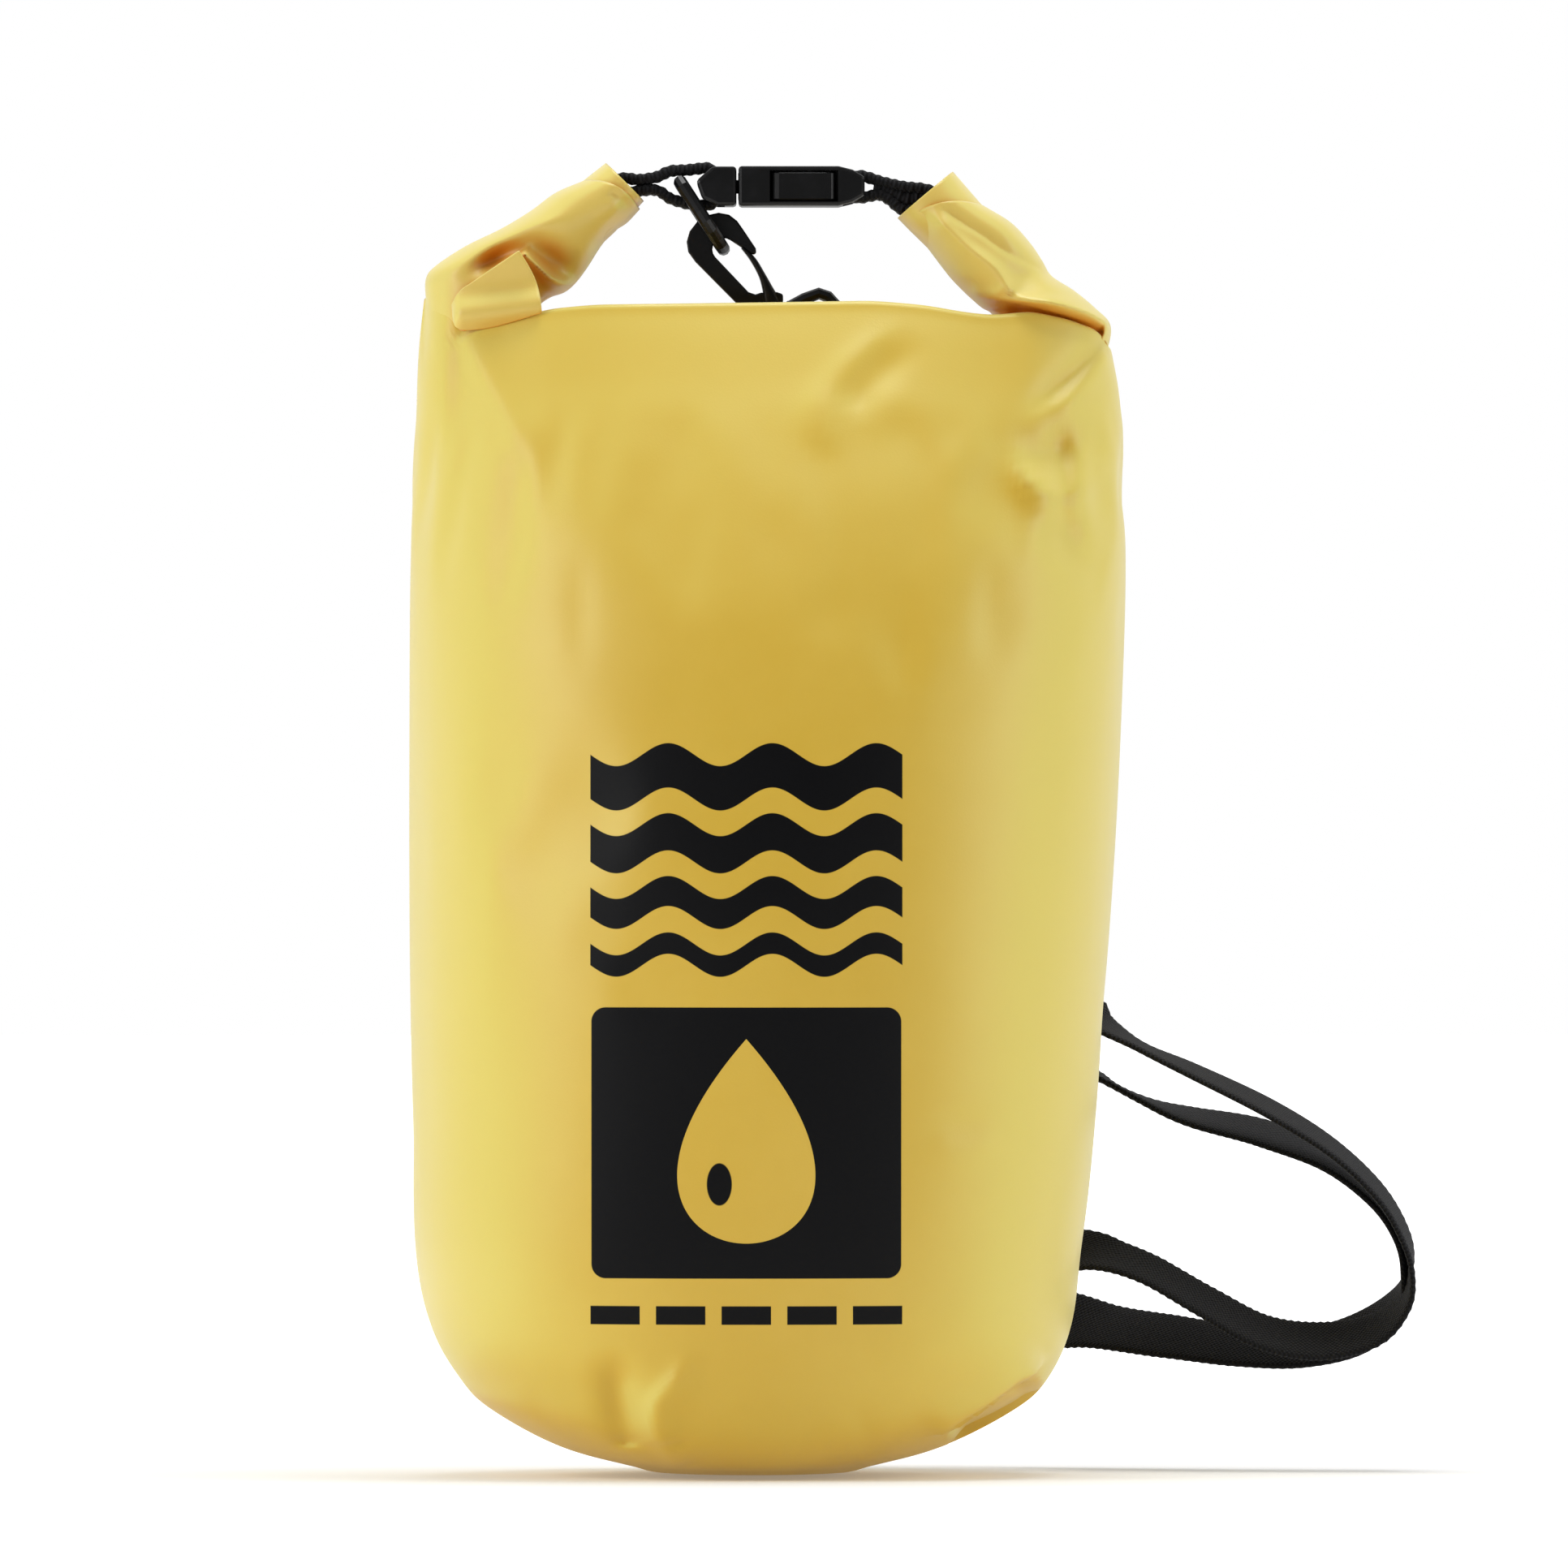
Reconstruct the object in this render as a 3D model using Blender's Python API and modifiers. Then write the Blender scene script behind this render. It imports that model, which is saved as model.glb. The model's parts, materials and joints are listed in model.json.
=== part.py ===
"""Roll-top dry bag, 10 litres, closed and buckled, with two shoulder straps clipped to the closure.

Frame: metres, +Z up, the front of the bag faces -Y, origin at the centre of the base's resting face.
Sizes below are in millimetres and are scaled once, where each mesh or curve is made.
"""

import math

import bmesh
import bpy
import numpy as np
from mathutils import Matrix, Vector

MM = 0.001

# ---- driving dimensions, in millimetres --------------------------------------------------------
FABRIC = 1.2          # coated fabric, with its welded laps
GAP = 0.4             # clearance between pieces that lie on each other
WEB_HALF = 10.0       # half the width of the 20 mm webbing
WEB_THICK = 1.5

BUCKLE_Z = 362.7      # height of the buckle's mid plane
ARM_RISE = 45.0       # height of a mouth above its shoulder hinge
ARM_REACH = 42.0      # sideways distance from a shoulder hinge to its mouth
HINGE_Z = BUCKLE_Z - ARM_RISE
LEFT_MOUTH_X, RIGHT_MOUTH_X = -38.0, 41.0   # where each closure web turns as the bag opens
LEFT_HINGE_X = LEFT_MOUTH_X - ARM_REACH
RIGHT_HINGE_X = RIGHT_MOUTH_X + ARM_REACH

RING_RADIUS = 1.9     # the D-ring's rod
RING_HALF = 12.6      # half its width between rod centres
RING_CORNER = 1.6     # how much its straight side's corners are cut
RING_TOP = Vector((-25.0, 0.0, 363.9))
RING_FOOT = Vector((-12.9, 0.0, 345.2))

HOOK_ORIGIN = Vector((-1.6, 0.0, 332.0))    # foot of the hook's gate opening, on the swivel axis
HOOK_UP = Vector((-0.672, 0.0, 0.7406))     # from the swivel towards the hook's head
HOOK_SIDE = Vector((0.7406, 0.0, 0.672))    # from the spine towards the gate
HOOK_HALF = 2.3       # half the hook's thickness

# Body sections from the seam of the base up to the lip:
# height at front, sides and back, then left, right, front and back extents, then roundness.
SECTIONS = (
    (14, 14, 14, -77, 67, -70, 70, 2.0),
    (24, 24, 24, -85.5, 76.5, -80, 80, 2.0),
    (41, 41, 41, -92, 84.5, -87, 87, 2.05),
    (62, 62, 62, -96, 88, -90.5, 91, 2.1),
    (100, 100, 100, -99, 92, -93, 93, 2.1),
    (145, 145, 145, -100, 95.5, -94, 94, 2.1),
    (187, 187, 187, -100, 97.5, -93, 94, 2.1),
    (235, 235, 235, -100, 99.5, -86, 88, 2.15),
    (272, 270, 268, -99.5, 100, -71, 74, 2.2),
    (304, 296, 288, -98.5, 99.5, -49, 50, 2.3),
    (329, 318, 303, -95.6, 97.6, -30, 31, 2.5),
)

PARTS = bpy.data.collections.new("dry_bag")
CUTTERS = bpy.data.collections.new("dry_bag_cutters")


# ---- scene and materials -----------------------------------------------------------------------
def clear_scene():
    for old in list(bpy.data.objects):
        bpy.data.objects.remove(old, do_unlink=True)
    for collection in (PARTS, CUTTERS):
        bpy.context.scene.collection.children.link(collection)
    CUTTERS.hide_render = True


def make_material(name, colour, roughness, metallic=0.0):
    material = bpy.data.materials.new(name)
    material.use_nodes = True
    shader = material.node_tree.nodes["Principled BSDF"]
    shader.inputs["Base Color"].default_value = (*colour, 1.0)
    shader.inputs["Roughness"].default_value = roughness
    shader.inputs["Metallic"].default_value = metallic
    return material


def add_object(name, data, material=None, collection=PARTS):
    obj = bpy.data.objects.new(name, data)
    collection.objects.link(obj)
    if material is not None:
        data.materials.append(material)
    return obj


def add_cutter(name, mesh):
    obj = add_object(name, mesh, collection=CUTTERS)
    obj.hide_render = True
    obj.display_type = "WIRE"
    return obj


# ---- mesh helpers ------------------------------------------------------------------------------
def finish_mesh(name, bm, smooth_angle=35.0):
    """Turns a bmesh in millimetres into a mesh in metres, outward facing, smooth up to an angle."""
    bmesh.ops.scale(bm, vec=(MM, MM, MM), verts=bm.verts)
    bmesh.ops.recalc_face_normals(bm, faces=bm.faces)
    mesh = bpy.data.meshes.new(name)
    bm.to_mesh(mesh)
    bm.free()
    mesh.shade_smooth()
    mesh.set_sharp_from_angle(angle=math.radians(smooth_angle))
    return mesh


def loft(name, rings, start_cap=False, end_cap=False, smooth_angle=35.0):
    """Skins closed rings of equal point count, in order."""
    bm = bmesh.new()
    rows = [[bm.verts.new(point) for point in ring] for ring in rings]
    count = len(rows[0])
    for low, high in zip(rows, rows[1:]):
        for i in range(count):
            j = (i + 1) % count
            bm.faces.new((low[i], low[j], high[j], high[i]))
    if start_cap:
        bm.faces.new(rows[0][::-1])
    if end_cap:
        bm.faces.new(rows[-1])
    return finish_mesh(name, bm, smooth_angle)


def box_mesh(name, low, high):
    """An axis-aligned box between two corners, in millimetres."""
    low, high = Vector(low), Vector(high)
    bm = bmesh.new()
    size = Matrix.Diagonal((*(high - low), 1.0))
    bmesh.ops.create_cube(bm, size=1.0, matrix=Matrix.Translation((low + high) / 2) @ size)
    return finish_mesh(name, bm)


def prism_mesh(name, outline, half, frame):
    """A flat outline of (a, b) points, thickened by half to each side. frame maps (a, b, c)."""
    bm = bmesh.new()
    lower = [bm.verts.new(frame @ Vector((a, b, -half))) for a, b in outline]
    face = bm.faces.new(lower)
    made = bmesh.ops.extrude_face_region(bm, geom=[face])
    moved = [item for item in made["geom"] if isinstance(item, bmesh.types.BMVert)]
    shift = frame.to_3x3() @ Vector((0, 0, 2 * half))
    bmesh.ops.translate(bm, verts=moved, vec=shift)
    return finish_mesh(name, bm)


def rod_mesh(name, start, end, radius, segments=20):
    """A closed cylinder from start to end, in millimetres."""
    start, end = Vector(start), Vector(end)
    axis = end - start
    turn = axis.to_track_quat("Z", "Y").to_matrix().to_4x4()
    bm = bmesh.new()
    bmesh.ops.create_cone(
        bm, cap_ends=True, segments=segments, radius1=radius, radius2=radius,
        depth=axis.length, matrix=Matrix.Translation((start + end) / 2) @ turn,
    )
    return finish_mesh(name, bm)


def tube_mesh(name, points, radius, cyclic, resolution=2):
    """A round tube along a poly line, as a closed mesh with its caps welded on."""
    curve = bpy.data.curves.new(name, "CURVE")
    curve.dimensions = "3D"
    curve.bevel_depth = radius * MM
    curve.bevel_resolution = resolution
    curve.use_fill_caps = not cyclic
    spline = curve.splines.new("POLY")
    spline.points.add(len(points) - 1)
    for target, point in zip(spline.points, points):
        target.co = (*(Vector(point) * MM), 1.0)
    spline.use_cyclic_u = cyclic
    guide = add_object(name + "_guide", curve, collection=CUTTERS)
    bpy.context.view_layer.update()
    evaluated = guide.evaluated_get(bpy.context.evaluated_depsgraph_get())
    mesh = bpy.data.meshes.new_from_object(evaluated)
    bpy.data.objects.remove(guide, do_unlink=True)
    bm = bmesh.new()
    bm.from_mesh(mesh)
    bmesh.ops.remove_doubles(bm, verts=bm.verts, dist=0.00001)
    bmesh.ops.recalc_face_normals(bm, faces=bm.faces)
    bm.to_mesh(mesh)
    bm.free()
    mesh.shade_smooth()
    mesh.set_sharp_from_angle(angle=math.radians(40.0))
    return mesh


def bevel(obj, width, segments=2, angle=40.0):
    modifier = obj.modifiers.new("bevel", "BEVEL")
    modifier.width = width * MM
    modifier.segments = segments
    modifier.limit_method = "ANGLE"
    modifier.angle_limit = math.radians(angle)


def boolean(obj, cutter, operation="DIFFERENCE"):
    modifier = obj.modifiers.new(operation.lower(), "BOOLEAN")
    modifier.operation = operation
    modifier.solver = "EXACT"
    modifier.object = cutter


def solidify(obj, thickness, offset=-1.0):
    modifier = obj.modifiers.new("thickness", "SOLIDIFY")
    modifier.thickness = thickness * MM
    modifier.offset = offset
    modifier.use_even_offset = True


def smooth_path(points, count):
    """A Catmull-Rom curve through the points, as count evenly spaced points."""
    knots = np.array([tuple(p) for p in points], float)
    padded = np.vstack([2 * knots[0] - knots[1], knots, 2 * knots[-1] - knots[-2]])
    fine = []
    for i in range(len(knots) - 1):
        a, b, c, d = padded[i:i + 4]
        for t in np.linspace(0, 1, 16, endpoint=False):
            fine.append(0.5 * (2 * b + (c - a) * t + (2 * a - 5 * b + 4 * c - d) * t**2
                               + (3 * b - a - 3 * c + d) * t**3))
    fine = np.array([*fine, knots[-1]])
    steps = np.r_[0, np.cumsum(np.linalg.norm(np.diff(fine[:, :3], axis=0), axis=1))]
    wanted = np.linspace(0, steps[-1], count)
    return np.column_stack([np.interp(wanted, steps, column) for column in fine.T])


def web_mesh(name, stations, count, half=WEB_HALF, thick=WEB_THICK):
    """Flat webbing along stations of (x, y, z, width direction x, y, z), as a closed solid."""
    path = smooth_path(stations, count)
    middle, across = path[:, :3], path[:, 3:]
    along = np.gradient(middle, axis=0)
    along /= np.linalg.norm(along, axis=1)[:, None]
    across = across - along * (across * along).sum(1)[:, None]
    across /= np.linalg.norm(across, axis=1)[:, None]
    normal = np.cross(along, across)
    corners = ((-half, -thick / 2), (half, -thick / 2), (half, thick / 2), (-half, thick / 2))
    rings = [
        [Vector(m + a * w + n * h) for w, h in corners]
        for m, a, n in zip(middle, across, normal)
    ]
    return loft(name, rings, start_cap=True, end_cap=True, smooth_angle=50.0)


# ---- bag body ----------------------------------------------------------------------------------
SLEEVE_POINTS = 48     # points around the sleeve and the base
SLEEVE_ROWS = 19
BASE_CENTRE = Vector((-5.0, 0.0, 0.0))


def section_at(t):
    """The body's section at a row position t, smoothly between the rows of SECTIONS."""
    rows = np.array(SECTIONS, float)
    padded = np.vstack([2 * rows[0] - rows[1], rows, 2 * rows[-1] - rows[-2]])
    i = min(int(t), len(rows) - 2)
    a, b, c, d = padded[i:i + 4]
    s = t - i
    return 0.5 * (2 * b + (c - a) * s + (2 * a - 5 * b + 4 * c - d) * s**2
                  + (3 * b - a - 3 * c + d) * s**3)


def body_point(t, angle, offset=0.0):
    """A point on the body's outside. Angle 0 is +X and 90 degrees is the back, +Y."""
    front_z, side_z, back_z, left, right, front, back, power = section_at(t)
    c, s = math.cos(angle), math.sin(angle)
    middle_x, reach_x = (left + right) / 2, (right - left) / 2
    reach_y, far_z = (back, back_z) if s > 0 else (-front, front_z)
    x = middle_x + (reach_x + offset) * math.copysign(abs(c) ** (2 / power), c)
    y = (reach_y + offset) * math.copysign(abs(s) ** (2 / power), s)
    z = side_z + (far_z - side_z) * s * s
    return Vector((x, y, z))


def back_point(x, z, lift):
    """The point on the body's back at a given x and z, lifted off it along its normal."""
    rows = np.array(SECTIONS)
    t, angle = 0.0, math.pi / 2
    for _ in range(8):
        _, side_z, back_z, left, right, _, _, power = section_at(t)
        share = (x - (left + right) / 2) / ((right - left) / 2)
        share = max(-0.98, min(0.98, share))
        angle = math.acos(math.copysign(abs(share) ** (power / 2), share))
        drop = (side_z - back_z) * math.cos(angle) ** 2
        t = float(np.interp(z - drop, rows[:, 2], np.arange(len(rows))))
    here = body_point(t, angle)
    around = body_point(t, angle + 0.01) - body_point(t, angle - 0.01)
    upwards = body_point(t + 0.02, angle) - body_point(t - 0.02, angle)
    return here + around.cross(upwards).normalized() * lift


def make_sleeve(pvc):
    """The tube of coated fabric, open at its foot, where the base panel laps over it."""
    angles = np.linspace(0, 2 * math.pi, SLEEVE_POINTS, endpoint=False)
    heights = np.linspace(0, len(SECTIONS) - 1, SLEEVE_ROWS)
    rings = [[body_point(t, a) for a in angles] for t in heights]
    sleeve = add_object("sleeve", loft("sleeve", rings), pvc)
    solidify(sleeve, FABRIC)


def make_base_panel(pvc):
    """A round panel whose rim turns up outside the sleeve, as a welded lap."""
    angles = np.linspace(0, 2 * math.pi, SLEEVE_POINTS, endpoint=False)
    lap = 2 * FABRIC
    rim = [body_point(0, a, lap) for a in angles]
    spokes = [Vector((p.x, p.y, 0)) - BASE_CENTRE for p in rim]
    rings = []
    for share, z in ((0.02, 0.0), (0.45, 0.0), (0.80, 0.0), (0.885, 0.9), (0.955, 4.0)):
        rings.append([BASE_CENTRE + spoke * share + Vector((0, 0, z)) for spoke in spokes])
    rings += [[body_point(t, a, lap) + Vector((0, 0, drop)) for a in angles]
              for t, drop in ((0.0, -3.5), (0.28, 0.0), (0.56, 0.0), (0.83, 0.0))]
    panel = add_object("base_panel", loft("base_panel", rings, start_cap=True), pvc)
    solidify(panel, FABRIC)


# ---- rolled neck -------------------------------------------------------------------------------
ROLL_HALF_WIDTH = 24.0
ROLL_HALF_THICK = 8.5
ROLL_WALL = 2.5        # several turns of fabric
END_HALF_WIDTH = (14.0, 21.5)    # of a roll end, at its shoulder and at its mouth
END_HALF_THICK = (12.0, 7.5)
END_GAP = 2.5          # between a roll end and the axis its web turns about
STRIP_HALF_WIDTH = 12.5
STRIP_THICK = 1.6
ROLL_DIP_Z = 293.0
ROLL_END_Z = 306.0
ROLL_CENTRE_X = (LEFT_HINGE_X + RIGHT_HINGE_X) / 2
ROLL_HALF_LENGTH = 66.0


def roll_height(x):
    """The centre line of the roll between its shoulders, sagging in the middle."""
    share = (x - ROLL_CENTRE_X) / ROLL_HALF_LENGTH
    return ROLL_DIP_Z + (ROLL_END_Z - ROLL_DIP_Z) * share * share


def oval_ring(centre, along, half_width, half_thick, count=24):
    """An oval across the direction along, wide in Y."""
    up = along.cross(Vector((0, 1, 0))).normalized()
    ring = []
    for angle in np.linspace(0, 2 * math.pi, count, endpoint=False):
        c, s = math.cos(angle), math.sin(angle)
        wide = half_width * math.copysign(abs(c) ** 0.8, c)
        ring.append(centre + Vector((0, wide, 0)) + up * (half_thick * s))
    return ring


def make_roll_centre(pvc):
    """The turns of the rolled neck, as one flattened tube lying across the bag's top."""
    xs = np.linspace(ROLL_CENTRE_X - ROLL_HALF_LENGTH, ROLL_CENTRE_X + ROLL_HALF_LENGTH, 11)
    rings = []
    for x in xs:
        rise = roll_height(x + 1.0) - roll_height(x - 1.0)
        along = Vector((2.0, 0.0, rise)).normalized()
        rings.append(oval_ring(Vector((x, 0, roll_height(x))), along,
                               ROLL_HALF_WIDTH, ROLL_HALF_THICK))
    roll = add_object("roll_centre", loft("roll_centre", rings), pvc)
    solidify(roll, ROLL_WALL)


def make_roll_end(name, hinge_x, mouth_x, pvc):
    """One end of the roll, standing up from its shoulder to the mouth the web comes out of."""
    start, end = Vector((hinge_x, 0, HINGE_Z)), Vector((mouth_x, 0, BUCKLE_Z))
    along = (end - start).normalized()
    length = (end - start).length - END_GAP
    rings = []
    for share in np.linspace(0, 1, 6):
        half_thick = np.interp(share, (0, 1), END_HALF_THICK)
        half_width = np.interp(1.6 * share, (0, 1), END_HALF_WIDTH)
        rings.append(oval_ring(start + along * length * share, along, half_width, half_thick))
    roll = add_object(name, loft(name, rings), pvc)
    solidify(roll, ROLL_WALL)


def make_stiffeners(strip):
    """The flat closure strip that the neck is rolled around, in the centre and in each end."""
    across = (0, 1, 0)
    inset = 5.0
    xs = np.linspace(ROLL_CENTRE_X - ROLL_HALF_LENGTH + inset,
                     ROLL_CENTRE_X + ROLL_HALF_LENGTH - inset, 5)
    stations = [(x, 0, roll_height(x), *across) for x in xs]
    add_object("stiffener_centre", web_mesh("stiffener_centre", stations, 12, STRIP_HALF_WIDTH,
                                            STRIP_THICK), strip)
    for side, hinge_x, mouth_x in (("left", LEFT_HINGE_X, LEFT_MOUTH_X),
                                   ("right", RIGHT_HINGE_X, RIGHT_MOUTH_X)):
        hinge, mouth = Vector((hinge_x, 0, HINGE_Z)), Vector((mouth_x, 0, BUCKLE_Z))
        stations = [(*hinge.lerp(mouth, share), *across) for share in (0.13, 0.5, 0.88)]
        name = "stiffener_" + side
        add_object(name, web_mesh(name, stations, 4, STRIP_HALF_WIDTH, STRIP_THICK), strip)


# ---- buckle ------------------------------------------------------------------------------------
SEAM_X = -8.9         # where the plug meets the socket
SOCKET_END_X = 26.9
PLUG_END_X = -20.5
BUCKLE_HALF_WIDTH = 14.0
BUCKLE_HALF_THICK = 5.6
CAVITY_HALF_WIDTH = 12.4
CAVITY_HALF_THICK = 4.4
CAVITY_END_X = 18.0
WINDOW_X = (0.2, 19.4)
WINDOW_INNER_Y = 3.5  # the socket stays solid between its windows' inner ends
SLOT_HALF = WEB_HALF + 0.6
PRONG_PIVOT = (-7.6, 8.6)
PRONG_HALF_THICK = 4.1
PRONG_ROOT_RADIUS = 1.3

SIDE_FRAME = Matrix(((1, 0, 0, 0), (0, 0, 1, 0), (0, 1, 0, BUCKLE_Z), (0, 0, 0, 1)))
PLAN_FRAME = Matrix.Translation((0, 0, BUCKLE_Z))


def buckle_box(name, low, high):
    shift = Vector((0, 0, BUCKLE_Z))
    return add_cutter(name, box_mesh(name, Vector(low) + shift, Vector(high) + shift))


def make_socket(plastic):
    """The buckle's female half: a sleeve with a window at each side and a web bar at its end."""
    left = SEAM_X + 0.3
    profile = [(left, -5.6), (19.5, -5.6), (23.5, -4.6), (SOCKET_END_X, -2.7),
               (SOCKET_END_X, 2.7), (23.5, 4.6), (19.5, 5.6), (left, 5.6)]
    socket = add_object("buckle_socket", prism_mesh("buckle_socket", profile,
                                                    BUCKLE_HALF_WIDTH, SIDE_FRAME), plastic)
    bevel(socket, 0.9)
    boolean(socket, buckle_box(
        "socket_cavity", (left - 3, -CAVITY_HALF_WIDTH, -CAVITY_HALF_THICK),
        (CAVITY_END_X, CAVITY_HALF_WIDTH, CAVITY_HALF_THICK)))
    for name, ends in (("front_window", (-20, -WINDOW_INNER_Y)),
                       ("rear_window", (WINDOW_INNER_Y, 20))):
        boolean(socket, buckle_box(name, (WINDOW_X[0], ends[0], -CAVITY_HALF_THICK),
                                   (WINDOW_X[1], ends[1], CAVITY_HALF_THICK)))
    boolean(socket, buckle_box("socket_slot", (20.8, -SLOT_HALF, -9), (24.2, SLOT_HALF, 9)))


def make_plug(plastic):
    """The buckle's male half: a web bar, a wall and the guide that enters the socket."""
    right = SEAM_X - 0.3
    profile = [(right, -5.5), (-14.5, -5.5), (-18.8, -3.4), (PLUG_END_X, 1.4),
               (-16.0, 5.5), (right, 5.5)]
    plug = add_object("buckle_plug", prism_mesh("buckle_plug", profile, 13.6, SIDE_FRAME), plastic)
    bevel(plug, 0.9)
    boolean(plug, buckle_box("plug_slot", (-15.9, -SLOT_HALF, -9), (-12.5, SLOT_HALF, 9)))
    boolean(plug, buckle_box("plug_guide", (right - 1, -2.2, -1.9), (12, 2.2, 1.9)), "UNION")


def make_prong(name, side, plastic):
    """One sprung arm of the plug. Its outer face is the button in the socket's window."""
    pivot_x, pivot_y = PRONG_PIVOT
    root = [(pivot_x + PRONG_ROOT_RADIUS * math.cos(a), pivot_y + PRONG_ROOT_RADIUS * math.sin(a))
            for a in np.radians((90, 135, 180, 225, 270))]
    outline = [*root, (6.0, 8.0), (15.5, 9.2), (18.2, 10.4), (18.9, 12.2), (18.0, 13.7),
               (15.5, 14.1), (2.8, 14.1), (1.2, 13.5), (0.7, 12.4), (0.7, 10.8)]
    outline = [(x, side * y) for x, y in outline]
    prong = add_object(name, prism_mesh(name, outline, PRONG_HALF_THICK, PLAN_FRAME), plastic)
    bevel(prong, 0.5, segments=1)


def web_stations(points):
    """Stations for webbing that lies across Y, from (x, height above the buckle's mid plane)."""
    return [(x, 0, BUCKLE_Z + z, 0, 1, 0) for x, z in points]


def make_buckle_webs(web):
    """The webs that join the buckle's halves to the roll's ends, each folded round its bar."""
    left = [(-42, 1.0), (-35, 2.0), (-29, 4.6), (-25, 5.4), (-20, 5.6), (-16.5, 6.9), (-14.6, 6.4),
            (-14.2, 4.0), (-14.2, -3.5), (-14.7, -6.2), (-16.8, -6.7), (-21, -4.6), (-28, -2.8),
            (-35, -1.4), (-42, -1.0)]
    right = [(45, 1.0), (38, 1.9), (31, 4.2), (27.5, 5.4), (25.2, 6.0), (23.3, 5.6), (22.5, 3.8),
             (22.5, 0), (22.5, -3.8), (23.3, -5.6), (25.2, -6.0), (27.5, -5.4), (31, -4.2),
             (38, -1.9), (45, -1.0)]
    for name, points in (("buckle_web_left", left), ("buckle_web_right", right)):
        add_object(name, web_mesh(name, web_stations(points), 44), web)


# ---- D-ring, swivel and hook -------------------------------------------------------------------
def make_d_ring(plastic):
    """A D-shaped ring: its straight side lies inside the left web's fold."""
    down = RING_FOOT - RING_TOP
    length = down.length
    down.normalize()
    across = Vector((0, 1, 0))
    bow = length - RING_HALF
    flat_end = RING_HALF - RING_CORNER
    points = [RING_TOP + across * y for y in (-flat_end, 0, flat_end)]
    points.append(RING_TOP + across * RING_HALF + down * RING_CORNER)
    for angle in np.radians(np.linspace(0, 180, 13)):
        points.append(RING_TOP + across * (RING_HALF * math.cos(angle))
                      + down * (bow + RING_HALF * math.sin(angle)))
    points.append(RING_TOP - across * RING_HALF + down * RING_CORNER)
    add_object("d_ring", tube_mesh("d_ring", points, RING_RADIUS, True, 3), plastic)


def hook_point(u, v, w=0.0):
    return HOOK_ORIGIN + HOOK_UP * u + HOOK_SIDE * v + Vector((0, w, 0))


HOOK_TURN = Matrix((HOOK_UP, HOOK_SIDE, (0, 1, 0))).transposed().to_4x4()
HOOK_FRAME = Matrix.Translation(HOOK_ORIGIN) @ HOOK_TURN


def arc(centre, radius, start, end, count):
    """Points (u, v) on an arc, by angles in degrees from the head's direction to the gate's."""
    return [(centre[0] + radius * math.cos(a), centre[1] + radius * math.sin(a))
            for a in np.radians(np.linspace(start, end, count))]


def make_hook_body(plastic):
    """The hook: spine, head and nose, with the swivel's shank and button at its foot."""
    outline = [(-5.0, -4.4), (0.0, -6.6), (4.0, -7.1), (20.0, -7.8), (23.4, -7.4), (25.8, -5.8),
               (27.4, -3.2), (28.0, 0.2), (27.4, 3.6), (25.8, 6.4), (23.4, 8.2), (20.6, 8.7),
               (17.4, 8.3), (11.3, 7.4), (10.2, 6.6), (10.4, 5.7), (11.6, 5.2)]
    outline += arc((17.2, 0.5), 3.2, 78, -90, 9)
    outline += [(3.6, -2.4), (1.8, -1.4), (1.0, 0.4), (-1.2, 1.4), (-1.5, 3.4), (-3.4, 4.4),
                (-5.0, 3.0)]
    body = add_object("hook_body", prism_mesh("hook_body", outline, HOOK_HALF, HOOK_FRAME), plastic)
    bevel(body, 0.8)
    shank = add_cutter("hook_shank", rod_mesh("hook_shank", hook_point(-3, 0),
                                              hook_point(-10.6, 0), 1.6))
    button = add_cutter("hook_button", rod_mesh("hook_button", hook_point(-9.6, 0),
                                                hook_point(-11.4, 0), 2.9))
    boolean(body, shank, "UNION")
    boolean(body, button, "UNION")


GATE_PIVOT = (0.8, 2.9)


def make_hook_gate(plastic):
    """The sprung tongue that closes the hook, on its own pivot beside the foot."""
    centre = smooth_path([(1.7, 3.0, 0), (5.5, 3.8, 0), (9.5, 4.0, 0), (12.8, 3.6, 0)], 8)
    tangent = np.gradient(centre[:, :2], axis=0)
    tangent /= np.linalg.norm(tangent, axis=1)[:, None]
    normal = np.column_stack([-tangent[:, 1], tangent[:, 0]])
    half = np.linspace(1.0, 0.65, len(centre))[:, None]
    outer = centre[:, :2] + normal * half
    inner = centre[:, :2] - normal * half
    foot = arc(GATE_PIVOT, 1.35, 120, 240, 6)
    outline = [*foot, *map(tuple, inner), *map(tuple, outer[::-1])]
    gate = add_object("hook_gate", prism_mesh("hook_gate", outline, 2.2, HOOK_FRAME), plastic)
    bevel(gate, 0.3, segments=1)


EYE_HALF = 13.3       # half the swivel eye's width between rod centres
EYE_RADIUS = 1.7
EYE_BAR_U = -20.5     # the eye's bar, on the swivel axis


def make_swivel_eye(plastic):
    """The swivel's loop: a hub on the hook's shank and a wide eye for the strap."""
    half = [(-7.2, 3.0), (-8.4, 8.0), (-10.0, 12.0), (-12.4, EYE_HALF), (-18.6, EYE_HALF),
            (-20.2, 12.3), (EYE_BAR_U, 10.5)]
    loop = half + [(u, -v) for u, v in reversed(half)]
    eye = add_object("swivel_eye", tube_mesh("swivel_eye", [hook_point(u, v) for u, v in loop],
                                             EYE_RADIUS, False), plastic)
    hub = add_cutter("eye_hub", rod_mesh("eye_hub", hook_point(-5.6, 0), hook_point(-9.0, 0), 4.2))
    hole = add_cutter("eye_hole", rod_mesh("eye_hole", hook_point(-4, 0), hook_point(-10.4, 0),
                                           1.95))
    boolean(eye, hub, "UNION")
    boolean(eye, hole)


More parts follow.
